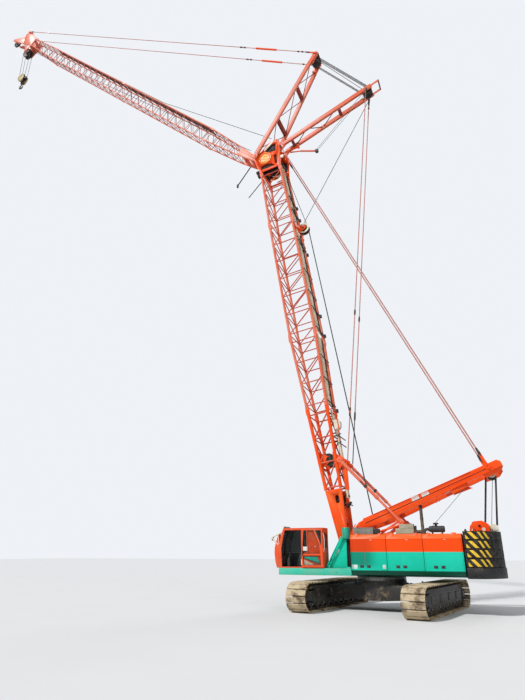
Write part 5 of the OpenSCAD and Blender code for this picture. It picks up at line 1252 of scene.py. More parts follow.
def buildJib():
    f = jibForm
    joints = {i: connectors(section, 0.034, jibPlace) for i, section in enumerate(f["sections"])}
    for i, name in enumerate(f["names"]):
        newLattice(name + "Bars", f["sections"][i], f["sections"][i + 1], f["bays"][i], f["chord"], f["lace"],
            (f["ends"], f["ends"]), jibPlace, "jib", name, [joints[i + 1]], "jibBrace")
    foot = newPlate([(0, -0.06), (0.06, -0.062), (0.5, -0.12), (0.93, -0.165), (0.93, 0.165), (0.5, 0.12),
        (0.06, 0.062), (0, 0.06)], 0.218, 0.262, 0.006)
    collar = turnedAcross([(0.0325, 0.214), (0.06, 0.214), (0.06, 0.266), (0.0325, 0.266)], 0, 0, 0, 32)
    rib = newPlate([(0.15, -0.012), (0.88, -0.012), (0.88, 0.012), (0.15, 0.012)], 0.258, 0.27, 0.003)
    half = bothSides(foot, collar, rib)
    middle = [newBox((x, -0.24, -0.06), (x + 0.06, 0.24, 0.06), 0.005) for x in (0.38, 0.85)]
    chords, laces, welds = latticeBars((0.9, 0.24, -0.15, 0.15), f["sections"][0], 4, f["chord"], f["lace"],
        (0.02, 0.11))
    bars = [newBars(chords, 16), newBars(welds, 16)]
    braces = newBars(laces, 8)
    shift(jibPlace, half, *middle, *bars, braces)
    dress("jibFootShape", [half, *middle, *bars, joints[0]], "lattice", "jib", "jib_foot")
    # braces in the darker jib brace finish: painted shade
    dress("jibFootBraces", braces, "jibBrace", "jib")

    # head: lattice, plates, cross boxes
    last = (16.55, 0.204, -0.155, 0.225)
    chords, laces, welds = latticeBars(f["sections"][2], last, 4, f["chord"], f["lace"], (0.09, 0.02))
    bars = [newBars(chords, 16), newBars(welds, 16)]
    braces = newBars(laces, 8)
    y = 0.184
    plates = [newPlate([(16.53, -0.19), (16.52, -0.24), (17.18, -0.3), (17.56, 0.19), (17.48, 0.4), (17.36, 0.48),
        (16.53, 0.24)], y, y + 0.04, 0.005), newPlate([(16.56, -0.23), (16.85, -0.24), (16.72, -0.6), (16.6, -0.6)],
        y, y + 0.04, 0.005), newPlate([(17.12, -0.29), (18.17, -0.41), (18.19, -0.32), (17.5, 0.06)], y, y + 0.04,
        0.005), newRod((17.38, y + 0.01, 0.37), (17.38, 0.2647, 0.37), 0.04, 24, 0.003)]
    half = bothSides(*plates)
    middle = [newBox((16.53, -0.204, -0.16), (16.57, 0.204, -0.1), 0.005), newBox((16.94, -0.204, -0.2),
        (17.04, 0.204, -0.08), 0.005), newBox((17.3, -0.204, 0.22), (17.42, 0.204, 0.34), 0.005),
        across(0.03, 0.468, *f["frontSheave"]), across(0.03, 0.468, *f["lowSheave"])]
    shift(jibPlace, half, *middle, *bars, braces)
    dress("jibHeadShape", [half, *middle, *bars], "lattice", "jib", "jib_head")
    # braces in the darker jib brace finish: painted shade
    dress("jibHeadBraces", braces, "jibBrace", "jib")
    dress("frontSheave", [newSheave(0.2, 0.07, 0.0305, *f["frontSheave"], 0, jibPlace)], "sheave", "front_sheave",
        "jib_sheave_front")
    dress("lowSheaves", [newSheave(0.24, 0.06, 0.0305, *f["lowSheave"], s * 0.07, jibPlace) for s in (-1, 1)],
        "sheave", "low_sheave", "jib_sheave_low")


buildJib()
print("jib built")

# cab
cabForm = dict(rear=1.09, front=2.165, inner=0.45, outer=0.82, floor=0.8603, top=1.718, doorway=1.625, slide=0.5,
    seatX=1.42, seatY=0.635)


def buildCab():
    f = cabForm
    near, far = f["outer"], f["inner"]
    floor, top, front, rear = f["floor"], f["top"], f["front"], f["rear"]
    door = f["doorway"]
    extra = []
    # gutter round the roof, seam between the upper orange part and the sill, rear grab rail
    extra.append(newRod((rear + 0.02, near - 0.004, top - 0.004), (front - 0.11, near - 0.004, top - 0.004), 0.006,
        10))
    extra.append(newRod((rear + 0.02, far + 0.004, top - 0.004), (front - 0.11, far + 0.004, top - 0.004), 0.006, 10))
    extra.append(newBox((rear + 0.01, near - 0.002, floor + 0.3), (door - 0.03, near + 0.0035, floor + 0.312), 0.002))
    extra.append(newBox((rear + 0.06, far + 0.06, top - 0.004), (front - 0.46, near - 0.06, top + 0.0001), 0.002))
    # door rail along the side
    extra.append(newBox((rear + 0.02, near - 0.002, floor + 0.008), (front - 0.1, near + 0.0032, floor + 0.022),
        0.002))
    soften("cab", 0.007, "cab", extra=extra)

    seals = []
    for y in (near - 0.0095, far + 0.0035):
        low, high = y - 0.004, y + 0.008
        outline = [(rear + 0.05, floor + 0.33), (door - 0.04, floor + 0.33), (door - 0.04, top - 0.046),
            (rear + 0.07, top - 0.046)]
        seals.append(frameBar(outline, low, high, 0.01))
    windscreen = [newBox((front - 0.014, far + 0.036, floor + 0.296), (front + 0.004, far + 0.046, floor + 0.6),
        0.003), newBox((front - 0.014, near - 0.046, floor + 0.296), (front + 0.004, near - 0.036, floor + 0.6),
        0.003), newBox((front - 0.014, far + 0.036, floor + 0.292), (front + 0.008, near - 0.036, floor + 0.302),
        0.003)]
    # wiper, rear-view mirror and its arm, door stop, grab handles
    wiper = [newCable([(front + 0.004, 0.6, floor + 0.31), (front + 0.008, 0.62, floor + 0.42),
        (front + 0.002, 0.66, floor + 0.56)], 0.005), newBox((front - 0.006, 0.655, floor + 0.44),
        (front + 0.004, 0.662, floor + 0.66), 0.002)]
    dress("cabSeals", [*seals, *windscreen, *wiper], "black")

    mirror = [newCable([(2.11, 0.805, 1.612), (2.16, 0.812, 1.6), (2.22, 0.806, 1.566), (2.33, 0.8, 1.535),
        (2.35, 0.8, 1.515), (2.31, 0.8, 1.465), (2.254, 0.8, 1.409), (2.19, 0.805, 1.355)], 0.015, sides=3),
        newRod((2.19, 0.812, 1.585), (2.17, 0.812, 1.37), 0.008, 10)]
    post = [newPlate([(2.235, 0.862), (2.272, 1.0), (2.29, 1.16), (2.285, 1.3), (2.235, 1.47), (2.185, 1.6),
        (2.165, 1.6), (2.165, 0.862)], 0.7, 0.812, 0.01)]
    dress("cabFrontCorner", post, "cab")
    dress("mirrorArm", mirror, "paleSheave")
    face = [newBox((2.345, 0.69, 1.45), (2.362, 0.8, 1.53), 0.007)]
    dress("mirrorFace", face, "grey")
    lampBodies, lenses = [], []
    for x, y in ((2.035, 0.5), (2.035, 0.6), (2.035, 0.7), (2.035, 0.79)):
        lampBodies.append(newBox((x - 0.028, y - 0.024, top + 0.0), (x + 0.018, y + 0.024, top + 0.04), 0.008))
        lenses.append(newBox((x + 0.014, y - 0.019, top + 0.005), (x + 0.022, y + 0.019, top + 0.035), 0.006))
    dress("workLampBodies", lampBodies, "grey")
    dress("workLampLenses", lenses, "lamp")
    rail = [newCable([(rear + 0.01, near + 0.002, 1.2), (rear - 0.03, near + 0.002, 1.22),
        (rear - 0.03, near + 0.002, 1.58), (rear + 0.01, near + 0.002, 1.6)], 0.008),
        newTurned([(0, 0), (0.016, 0), (0.014, 0.003), (0, 0.004)], 20, move(1.292, near + 0.003,
        1.316) @ turnX(-90))]
    dress("cabHandRail", rail, "plate")
    refinish("cab_glass", "glass")

    # the sliding door: a pressed frame with two panes
    x0, x1, y = door - 0.02 - f["slide"], front - 0.07 - f["slide"], near + 0.004
    outer = [(x0, floor + 0.02), (x1 + 0.008, floor + 0.02), (x1 + 0.022, floor + 0.3), (x1 + 0.02, floor + 0.48),
        (x1 + 0.004, floor + 0.66), (x1 - 0.014, top - 0.02), (x0, top - 0.02)]
    # the window with its slanted rear pillar, the small pane behind the pillar, and the low pane
    upper = [(x0 + 0.072, floor + 0.3), (x1 - 0.01, floor + 0.3), (x1 - 0.012, floor + 0.48),
        (x1 - 0.026, floor + 0.66), (x1 - 0.04, top - 0.056), (x0 + 0.205, top - 0.056), (x0 + 0.085, floor + 0.5)]
    small = [(x0 + 0.034, floor + 0.46), (x0 + 0.046, floor + 0.5), (x0 + 0.166, top - 0.056),
        (x0 + 0.034, top - 0.056)]
    lower = [(x0 + 0.056, floor + 0.06), (x1 - 0.024, floor + 0.06), (x1 - 0.01, floor + 0.262),
        (x0 + 0.064, floor + 0.262)]
    leaf = newPlate(outer, y, y + 0.022, 0)
    for opening in (upper, small, lower):
        cutOut(leaf, newPlate(opening, y - 0.05, y + 0.07, 0))
    leaf = roundEdges(leaf, 0.005)
    runners = [newBox((rx, near + 0.0003, rz), (rx + 0.034, near + 0.0053, rz + 0.022), 0.001) for rx,
        rz in ((x0 + 0.004, floor + 0.024), (x1 - 0.04, floor + 0.024), (x0 + 0.004, top - 0.052),
        (x1 - 0.12, top - 0.052))]
    dress("cabDoorLeaf", [leaf, *runners], "cab", "cab_door", "cab_door")
    dress("cabDoorPanes", [newPlate(outline, y + 0.008, y + 0.014, 0.001) for outline in (upper, lower)],
        "clearGlass", "cab_door")
    dress("cabDoorSmallPane", [newPlate(small, y + 0.008, y + 0.014, 0.001)], "glass", "cab_door")
    bars = [newBox((x0 + 0.36, y + 0.003, floor + 0.3), (x0 + 0.376, y + 0.019, top - 0.056), 0.002)]
    dress("cabDoorBar", bars, "cab", "cab_door")
    dress("cabDoorPlate", [newBox((x1 - 0.135, y + 0.0135, floor + 0.362), (x1 - 0.022, y + 0.0175, floor + 0.452),
        0.0015)], "plate", "cab_door")
    # what stands behind the door's glass: the orange side panel, the green tank and a tan tray
    behind = near + 0.0002, near + 0.0034
    dress("cabSidePanel", [newPlate([(1.15, 1.19), (1.463, 1.19), (1.463, 1.665), (1.262, 1.665), (1.15, 1.36)],
        *behind, 0.001)], "orange")
    dress("cabSideTank", [newPlate([(1.6, 1.095), (1.26, 1.105), (1.2, 0.975), (1.29, 0.975)], *behind, 0.001)],
        "green")
    dress("cabSideTray", [newPlate([(1.635, 1.045), (1.58, 1.045), (1.34, 0.945), (1.36, 0.925), (1.635, 0.925)],
        *behind, 0.001)], "walkway")
    dress("cabSideRail", [newPlate([(1.6, 1.072), (1.58, 1.085), (1.2, 0.965), (1.21, 0.945)], behind[1],
        behind[1] + 0.0008, 0.0003)], "black")
    rubber = [frameBar(outline, y + 0.004, y + 0.02, 0.006) for outline in (upper, lower)]
    rubber += [newBox((x1 - 0.015, y + 0.018, floor + 0.262), (x1 + 0.002, y + 0.034, floor + 0.37), 0.005),
               newRod((x1 - 0.008, y + 0.02, floor + 0.28), (x1 - 0.008, y + 0.03, floor + 0.28), 0.012, 16)]
    dress("cabDoorRubber", rubber, "black", "cab_door")


def frameBar(outline, low, high, width):
    # a flat ring that follows a closed outline, inside it
    middle = Vector((sum(x for x, z in outline), sum(z for x, z in outline))) / len(outline)
    inner = [tuple(Vector(point) + (middle - Vector(point)).normalized() * width * 1.35) for point in outline]
    pieces = []
    for i in range(len(outline)):
        k = (i + 1) % len(outline)
        pieces.append(newPlate([outline[i], outline[k], inner[k], inner[i]], low, high, 0.0015))
    return joinPieces("ring", pieces)


def buildSeat():
    f = cabForm
    x, y, z = f["seatX"], f["seatY"], f["floor"] + 0.0263

    def cushion(low, high, place, crown):
        focus()
        size = [b - a for a, b in zip(low, high)]
        bpy.ops.mesh.primitive_cube_add(size=1, location=[(a + b) / 2 for a, b in zip(low, high)], scale=size)
        piece = settle(bpy.context.object)
        editAll(piece, lambda: bpy.ops.mesh.subdivide(number_cuts=7))
        middle = Vector([(a + b) / 2 for a, b in zip(low, high)])
        for vertex in piece.data.vertices:
            u, v = (vertex.co.x - middle.x) / (size[0] / 2), (vertex.co.y - middle.y) / (size[1] / 2)
            lift = crown * (1 - u ** 4) * (1 - v ** 4)
            vertex.co.z += lift if vertex.co.z > middle.z else 0
            groove = 0.004 if abs(abs(v) - 0.5) < 0.14 else 0
            vertex.co.z -= groove if vertex.co.z > middle.z else 0
        piece = roundEdges(piece, 0.012, 3, 40)
        settle(piece, place)
        return smooth(piece, 60)

    base = cushion((x - 0.04, y - 0.105, z + 0.155), (x + 0.2, y + 0.105, z + 0.19), still, 0.014)
    lean = move(x - 0.02, 0, z + 0.2) @ turnY(-103)
    back = cushion((0.0, y - 0.1, -0.022), (0.3, y + 0.1, 0.012), lean, 0.012)
    rest = cushion((0.225, y - 0.06, 0.004), (0.3, y + 0.06, 0.022), lean, 0.006)
    cushions = dress("seatCushions", [base, back, rest], "fabric", node="cab_seat")
    hard = [newBox((x, y - 0.06, z), (x + 0.16, y + 0.06, z + 0.05), 0.006), newBox((x + 0.02, y - 0.05, z + 0.05),
        (x + 0.14, y + 0.05, z + 0.15), 0.01)]
    hard += [newBox((x + 0.012, y - 0.054, z + 0.06 + k * 0.022), (x + 0.148, y + 0.054, z + 0.072 + k * 0.022),
        0.004) for k in range(4)]
    for side in (-1, 1):
        cy = y + side * 0.13
        hard.append(newPlate([(x, z), (x + 0.22, z), (x + 0.26, z + 0.16), (x + 0.26, z + 0.26),
            (x + 0.02, z + 0.245), (x, z + 0.2)], cy - 0.018, cy + 0.018, 0.006))
        hard.append(newRod((x + 0.22, cy, z + 0.25), (x + 0.22, cy, z + 0.275), 0.014, 16, 0.002))
        hard.append(newRod((x + 0.22, cy, z + 0.27), (x + 0.222, cy, z + 0.325), 0.006, 10))
        hard.append(newRod((x + 0.222, cy, z + 0.318), (x + 0.223, cy, z + 0.34), 0.008, 14, 0.004, 0.006))
    hard.append(newPlate([(1.945, z), (2.005, z), (2.005, z + 0.14), (1.975, z + 0.2), (1.945, z + 0.2)], y - 0.09,
        y + 0.09, 0.008))
    for k in (-1, 0, 1):
        hard.append(newRod((1.975, y + 0.05 * k, z + 0.195), (1.965, y + 0.05 * k, z + 0.29), 0.006, 10))
        hard.append(newRod((1.966, y + 0.05 * k, z + 0.28), (1.963, y + 0.05 * k, z + 0.308), 0.008, 14, 0.004,
            0.0065))
    dress("seatConsoles", hard, "black")


buildCab()
buildSeat()
print("cab built")

# counterweight, spreader, jacks and backstop frame
weightForm = dict(front=-1.89, low=0.69, top=1.603, spreader=-2.225)


def buildWeights():
    f = weightForm
    soften("counterweight_slabs", 0.01, "stripes")
    lugs = []
    for sy in (-1, 1):
        for x in (-2.02, -2.17):
            lugs.append(newPlate([(x - 0.03, f["low"] + 0.06), (x + 0.03, f["low"] + 0.06),
                (x + 0.022, f["low"] + 0.12), (x - 0.022, f["low"] + 0.12)], *sorted((sy * 0.764, sy * 0.79)), 0.004))
    soften("counterweight_base", 0.012, "base", extra=lugs)
    # tie rods down the front corners and lifting eyes on the top slab
    ties = []
    for sy in (-1, 1):
        ties.append(newRod((f["front"] - 0.06, sy * 0.66, f["top"] - 0.002), (f["front"] - 0.06, sy * 0.66,
            f["top"] + 0.045), 0.018, 16, 0.003))
        ties.append(newRod((f["front"] - 0.06, sy * 0.66, f["top"]), (f["front"] - 0.06, sy * 0.66, f["top"] + 0.016),
            0.034, 6, 0.003))
        for x in (-2.12, -2.45):
            ties.append(newCable([(x - 0.03, sy * 0.42, f["top"] - 0.004), (x - 0.028, sy * 0.42, f["top"] + 0.035),
                (x, sy * 0.42, f["top"] + 0.055), (x + 0.028, sy * 0.42, f["top"] + 0.035),
                (x + 0.03, sy * 0.42, f["top"] - 0.004)], 0.008))
    dress("weightTies", ties, "socket")

    # spreader: plates softened, wheels dark
    z, x = f["top"], f["spreader"]
    outer = newPlate([(x - 0.215, z), (x + 0.215, z), (x + 0.19, z + 0.12), (x + 0.11, z + 0.215),
        (x - 0.06, z + 0.225), (x - 0.19, z + 0.15)], 0.25, 0.28, 0.005)
    inner = newPlate([(x - 0.15, z), (x + 0.15, z), (x + 0.12, z + 0.15), (x - 0.12, z + 0.15)], 0.06, 0.09, 0.005)
    rim = newPlate([(x - 0.215, z), (x + 0.215, z), (x + 0.212, z + 0.014), (x - 0.212, z + 0.014)], 0.22, 0.31,
        0.003)
    half = bothSides(outer, inner, rim)
    bar = newBox((x - 0.05, -0.28, z + 0.002), (x + 0.05, 0.28, z + 0.028), 0.004)
    top = newRod((x + 0.13, -0.28, z + 0.185), (x + 0.13, 0.28, z + 0.185), 0.016, 16, 0.002)
    dress("spreaderPlates", [half, bar, top], "orange", node="spreader")
    wheels = [newSheave(0.092, 0.034, 0.024, x, z + 0.12, y) for y in (-0.21, -0.165, -0.12, 0.12, 0.165, 0.21)]
    wheels.append(across(0.024, 0.6, x, z + 0.12))
    dress("spreaderSheaves", wheels, "sheave")
    pale = [newRod((x - 0.08, 0.281, z + 0.045), (x - 0.08, 0.3, z + 0.045), 0.038, 28, 0.004),
        newPlate([(x - 0.16, z + 0.1), (x - 0.27, z + 0.155), (x - 0.37, z + 0.125), (x - 0.375, z + 0.03),
        (x - 0.21, z + 0.004)], 0.16, 0.24, 0.008), newPlate([(x + 0.13, z + 0.02), (x + 0.17, z + 0.02),
        (x + 0.15, z + 0.07)], 0.281, 0.292, 0.003)]
    dress("spreaderCaps", [bothSides(*pale)], "paleSheave")


jackForm = dict(y=0.67, column=(0.584, 0.71), top=(0.675, 1.51), knee=(0.945, 1.045), foot=(1.035, 0.885))


def buildJacks():
    form = jackForm
    y = form["y"]
    for side in ("left", "right"):
        # bracket plates, turned column with its cap, and the slanted rod
        parts = [newPlate([(0.6, 0.86), (1.078, 0.86), (1.078, 0.92), (0.68, 1.5), (0.585, 1.5)], y, y + 0.034,
            0.005)]
        column = [newTurned([(0, 1.47), (0.08, 1.47), (0.08, 1.482), (0.092, 1.484), (0.092, 1.7), (0.086, 1.712),
            (0.03, 1.716), (0.03, 1.72), (0, 1.72)], 40, move(*form["column"], 0))]
        shade = [newPlate([(0.5, 0.875), (0.62, 0.875), (0.62, 1.47), (0.5, 1.47)], y - 0.012, y - 0.002, 0.003),
            newCable([(0.535, y + 0.004, 0.875), (0.545, y + 0.01, 1.05), (0.53, y + 0.008, 1.25),
            (0.545, y + 0.004, 1.46)], 0.009)]
        parts += [newBox((0.98, y + 0.03, 0.86), (1.07, y + 0.09, 0.92), 0.005), newBox((0.52, y - 0.04, 0.86),
            (0.61, y + 0.08, 0.89), 0.005), newPlate([(0.62, 1.3), (0.64, 1.3), (0.9, 1.02), (0.88, 1.0)], y + 0.03,
            y + 0.038, 0.003)]
        # the folding arm in front of the bracket: two flanges with a ram between them, then a forked foot
        top, knee, foot = (Vector((form[end][0], y, form[end][1])) for end in ("top", "knee", "foot"))
        down, lower = (knee - top).normalized(), (foot - knee).normalized()
        aside = Vector((-down.z, 0, down.x))
        for offset in (-0.034, 0.022):
            parts.append(newPlate([(point.x, point.z) for point in (top + aside * offset, knee + aside * offset,
                knee + aside * (offset + 0.012), top + aside * (offset + 0.012))], y + 0.036, y + 0.088, 0.003))
        beside = Vector((-lower.z, 0, lower.x))
        for offset in (-0.03, 0.014):
            parts.append(newPlate([(point.x, point.z) for point in (knee + beside * offset, foot + beside * offset,
                foot + beside * (offset + 0.016), knee + beside * (offset + 0.016))], y + 0.038, y + 0.086, 0.003))
        rod = [newRod(top, knee, 0.017, 16, 0.002), newRod(top + down * 0.05, top + down * 0.3, 0.022, 16, 0.002)]
        shift(move(0, 0.062, 0), *rod)
        rod += [newRod((knee.x, y + 0.028, knee.z), (knee.x, y + 0.094, knee.z), 0.022, 18, 0.002),
                newRod((foot.x, y + 0.02, foot.z + 0.012), (foot.x, y + 0.098, foot.z + 0.012), 0.024, 18, 0.002)]
        label = [newPlate(outline, y + 0.0335, y + 0.0362, 0.001) for outline in (((0.8, 1.165), (0.835, 1.185),
            (0.79, 1.265), (0.755, 1.245)), ((0.865, 1.1), (0.895, 1.115), (0.855, 1.175), (0.825, 1.16)))]
        if side == "right":
            shift(flipY, *parts, *rod, *label, *column, *shade)
        dress(side + "JackLabels", label, "plate")
        # the column in the darker green: painted shade
        dress(side + "JackColumn", column, "columnShadedGreen")
        dress(side + "JackShade", shade, "darkInside")
        dress(side + "JackBracket", parts, "green", node="jack_" + side)
        dress(side + "JackRod", rod[2:], "winch")
        dress(side + "JackArm", rod[:2], "green")


stopForm = dict(pin=(2.015, 0, 0.347), end=(-0.641, 0, 1.803), y=0.55, tube=0.038, rod=0.029)


def buildStops():
    f = stopForm
    soften("stop_frame", 0.004, "orange")
    legs = [newRod((-0.173, 0.5, 1.6), (-0.54, 0.52, 1.815), 0.026, 18, 0.003), newRod((-0.373, 0.5, 1.6),
        (-0.62, 0.52, 1.8), 0.026, 18, 0.003), newBox((-0.4, 0.46, 1.5603), (-0.14, 0.54, 1.6), 0.006),
        newPlate([(-0.56, 1.79), (-0.5, 1.86), (-0.62, 1.9), (-0.68, 1.83)], 0.5, 0.53, 0.005)]
    dress("stopFrameLegs", [bothSides(*legs)], "lattice")
    start, end = boomPlace @ Vector(f["pin"]), Vector(f["end"])
    for side, sign in (("left", 1), ("right", -1)):
        y = Vector((0, sign * f["y"], 0))
        p, q = start + y, end + y
        run = q - p
        eye = turnedAcross([(0.0305, -0.028), (0.062, -0.028), (0.062, 0.028), (0.0305, 0.028)], p.x, p.z, p.y, 36)
        tube = newRod(p + run * 0.035, p + run * 0.62, f["tube"], 24, 0.003)
        inner = newRod(p + run * 0.6, q, f["rod"], 24, 0.003)
        bands = [newRod(p + run * a, p + run * b, r, 24, 0.003) for a, b, r in ((0.6, 0.635, 0.042),
            (0.05, 0.075, 0.043), (0.975, 1.0, 0.03))]
        dress(side + "BackstopTube", [eye, tube, inner, *bands], "lattice", side + "_backstop", "backstop_" + side)
        # the dark rope clamp round the tube, with two rope ends
        clamp = newRod(p + run * 0.425, p + run * 0.455, 0.047, 8, 0.004)
        hose = newCable([p + run * 0.36 + Vector((0, sign * 0.045, 0)), p + run * 0.39 + Vector((-0.05, sign * 0.05,
            -0.06)), p + run * 0.46 + Vector((0, sign * 0.045, -0.01))], 0.012)
        dress(side + "BackstopClamp", [clamp, hose], "black", side + "_backstop")


buildWeights()
buildJacks()
buildStops()
print("rear built")

# mast, struts and standing rigging
mastForm = dict(inner=0.385, width=0.1, head=(-3.685, 0.32))


def buildMast():
    f = mastForm
    inner, outer = f["inner"], f["inner"] + f["width"]
    # lengthwise seams, bosses, a bolted hatch and a chamfered tip cap
    extras = [newPlate([(-3.55, z0), (-1.15, z1), (-1.15, z1 + 0.012), (-3.55, z0 + 0.012)], outer - 0.001,
        outer + 0.005, 0.002) for z0, z1 in ((0.455, 0.425), (0.395, 0.3))]
    extras.append(turnedAcross([(0, 0.484), (0.052, 0.484), (0.052, 0.5), (0.04, 0.506), (0, 0.506)], -3.685, 0.43, 0,
        32))
    extras += [newRod((x, outer - 0.002, z), (x, outer + 0.008, z), 0.01, 6) for x, z in
               ((-2.95, 0.3), (-3.02, 0.3), (-2.95, 0.345), (-3.02, 0.345), (-2.3, 0.28), (-2.37, 0.28))]
    extras.append(newPlate([(-3.2, 0.255), (-2.72, 0.27), (-2.86, 0.345), (-3.08, 0.345)], inner + 0.03, inner + 0.06,
        0.005))
    extras.append(newPlate([(-0.5, 0.425), (-0.1, 0.1), (-0.085, 0.115), (-0.485, 0.44)], 0.452, 0.47, 0.003))
    half = bothSides(*extras)
    shift(mastPlace, half)
    soften("mast", 0.007, "orange", "mast", [half])
    seam = newPlate([(-3.62, 0.405), (-0.72, 0.352), (-0.72, 0.366), (-3.62, 0.419)], outer - 0.002, outer + 0.004,
        0.001)
    lip = newPlate([(-3.3, 0.47), (-0.95, 0.452), (-0.95, 0.46), (-3.3, 0.48)], outer - 0.002, outer + 0.004, 0.001)
    dark = bothSides(seam, lip)
    shift(mastPlace, dark)
    dress("mastSeams", dark, "darkInside", "mast")
    plates = [newPlate([(x - 0.085, z - 0.045), (x + 0.085, z - 0.045), (x + 0.085, z + 0.045),
        (x - 0.085, z + 0.045)], 0.484, 0.4885, 0.002, mastPlace) for x, z in ((-1.978, 0.432), (-2.215, 0.43))]
    dress("mastPlates", plates, "plate", "mast")
    x, z = f["head"]
    dark = [newSheave(0.1, 0.044, 0.0305, x, z, y, mastPlace) for y in (-0.25, -0.2, 0.2, 0.25)]
    pale = [newSheave(0.1, 0.044, 0.0305, x, z, y, mastPlace) for y in (-0.3, 0.3)]
    dress("mastHeadSheaves", dark, "sheave", "mast_sheaves", "mast_sheaves")
    dress("mastHeadPaleSheaves", pale, "paleSheave", "mast_sheaves")


strutForm = dict(frontLength=4.435, rearLength=3.365, leg=0.13, root=0.475, tip=0.2, wheel=0.15,
                 frontWheel=(4.275, 0), rearWheel=(3.205, -0.02))


def buildStruts():
    f = strutForm
    L, root, tip, leg = f["frontLength"], f["root"], f["tip"], f["leg"]
    lean = -math.atan((root - tip) / L)
    along = move(0, root, 0) @ Matrix.Rotation(lean, 4, "Z")
    legBox = newBox((0.02, 0, -leg / 2), (L - 0.02, 0.06, leg / 2), 0.008, along)
    flanges = [newBox((0.05, -0.006, z), (L - 0.4, 0.066, z + 0.01), 0.002, along) for z in (-leg / 2,
        leg / 2 - 0.01)]
    eye = turnedAcross([(0.0325, root), (0.08, root), (0.08, root + 0.06), (0.0325, root + 0.06)], 0, 0, 0, 40)
    collar = turnedAcross([(0.0325, root - 0.008), (0.055, root - 0.008), (0.055, root + 0.068),
        (0.0325, root + 0.068)], 0, 0, 0, 32)
    headPlate = newPlate([(L - 0.42, -0.1), (L, -0.09), (L + 0.06, 0), (L, 0.09), (L - 0.42, 0.1)], tip - 0.01,
        tip + 0.04, 0.006)
    half = bothSides(legBox, *flanges, eye, collar, headPlate)
    ties = []
    for x in (1.5, 2.9):
        h = root - (root - tip) * x / L + 0.01
        ties.append(newBox((x, -h, -0.04), (x + 0.09, h, 0.04), 0.006))
        ties.append(newBox((x - 0.05, -h, -0.005), (x + 0.14, h, 0.005), 0.002))
    # crossed round braces between the legs
    for x0, x1 in ((0.35, 1.48), (1.6, 2.88), (3.0, 4.0)):
        a, b = root - (root - tip) * x0 / L, root - (root - tip) * x1 / L
        ties.append(newRod((x0, -a, 0), (x1, b, 0), 0.012, 10))
        ties.append(newRod((x0, a, 0), (x1, -b, 0), 0.012, 10))
    ties.append(newBox((L, -tip, -0.06), (L + 0.05, tip, 0.06), 0.006))
    pin = [newRod((L - 0.06, -0.2647, 0.04), (L - 0.06, 0.2647, 0.04), 0.026, 20, 0.003)]
    wheels = [newSheave(f["wheel"], 0.044, 0.024, L - 0.16, 0, y) for y in (-0.11, -0.055, 0, 0.055, 0.11)]
    wheels.append(across(0.024, 2 * tip, L - 0.16, 0))
    shift(frontStrutPlace, half, *ties, *pin, *wheels)
    # ties and braces in dark maroon: painted shade
    dress("frontStrutTies", ties, "shadedMaroon", "front_strut")
    dress("frontStrutFrame", [half, *pin], "lattice", "front_strut", "front_strut")
    dress("frontStrutSheaves", wheels, "sheave", "front_strut")

    L = f["rearLength"]
    inner, width = 0.15, 0.065
    out = inner + width
    legs = [newBox((0.09, inner, -leg / 2), (L, out, leg / 2), 0.008), newBox((0.12, inner - 0.005, leg / 2 - 0.01),
        (L - 0.3, out + 0.005, leg / 2), 0.002), newBox((0.12, inner - 0.005, -leg / 2),
        (L - 0.3, out + 0.005, -leg / 2 + 0.01), 0.002), newBox((L - 0.04, out - 0.045, -0.04),
        (L + 0.27, out - 0.015, 0.02), 0.005)]
    half = bothSides(*legs)
    middle = [newBox((share * L, -inner - 0.01, -0.05), (share * L + 0.09, inner + 0.01, 0.05),
        0.006) for share in (0.115, 0.635)]
    middle.append(newBox((L + 0.24, -out + 0.015, -0.04), (L + 0.27, out - 0.015, 0.02), 0.005))
    braces = (0.15, 0.3, 0.45, 0.61)
    for i in range(3):
        side = -1 if i % 2 == 0 else 1
        middle.append(newRod((braces[i] * L, side * 0.17, 0), (braces[i + 1] * L, -side * 0.17, 0), 0.014, 12))
    wheels = [newSheave(f["wheel"], 0.042, 0.024, L - 0.16, -0.02, y) for y in (-0.1, -0.05, 0, 0.05, 0.1)]
    wheels.append(across(0.024, 2 * inner + 0.03, L - 0.16, -0.02))
    shift(rearStrutPlace, half, *middle, *wheels)
    shoe = bothSides(newPlate([(12.25, 0.4003), (12.395, 0.4003), (12.54, 0.48), (12.555, 0.56), (12.42, 0.6)], 0.16,
        0.205, 0.005))
    shift(boomPlace, shoe)
    # ties and braces in dark maroon: painted shade
    dress("rearStrutTies", middle, "shadedMaroon", "boom")
    dress("rearStrutFrame", [half, shoe], "lattice", "boom", "rear_strut")
    dress("rearStrutSheaves", wheels, "sheave", "boom")


def onBoom(x, z, y=0.0):
    return boomPlace @ Vector((x, y, z))


def onJib(x, z, y=0.0):
    return jibPlace @ Vector((x, y, z))


def onMast(x, z, y=0.0):
    return mastPlace @ Vector((x, y, z))


def onFront(x, z, y=0.0):
    return frontStrutPlace @ Vector((x, y, z))


def onRear(x, z, y=0.0):
    return rearStrutPlace @ Vector((x, y, z))


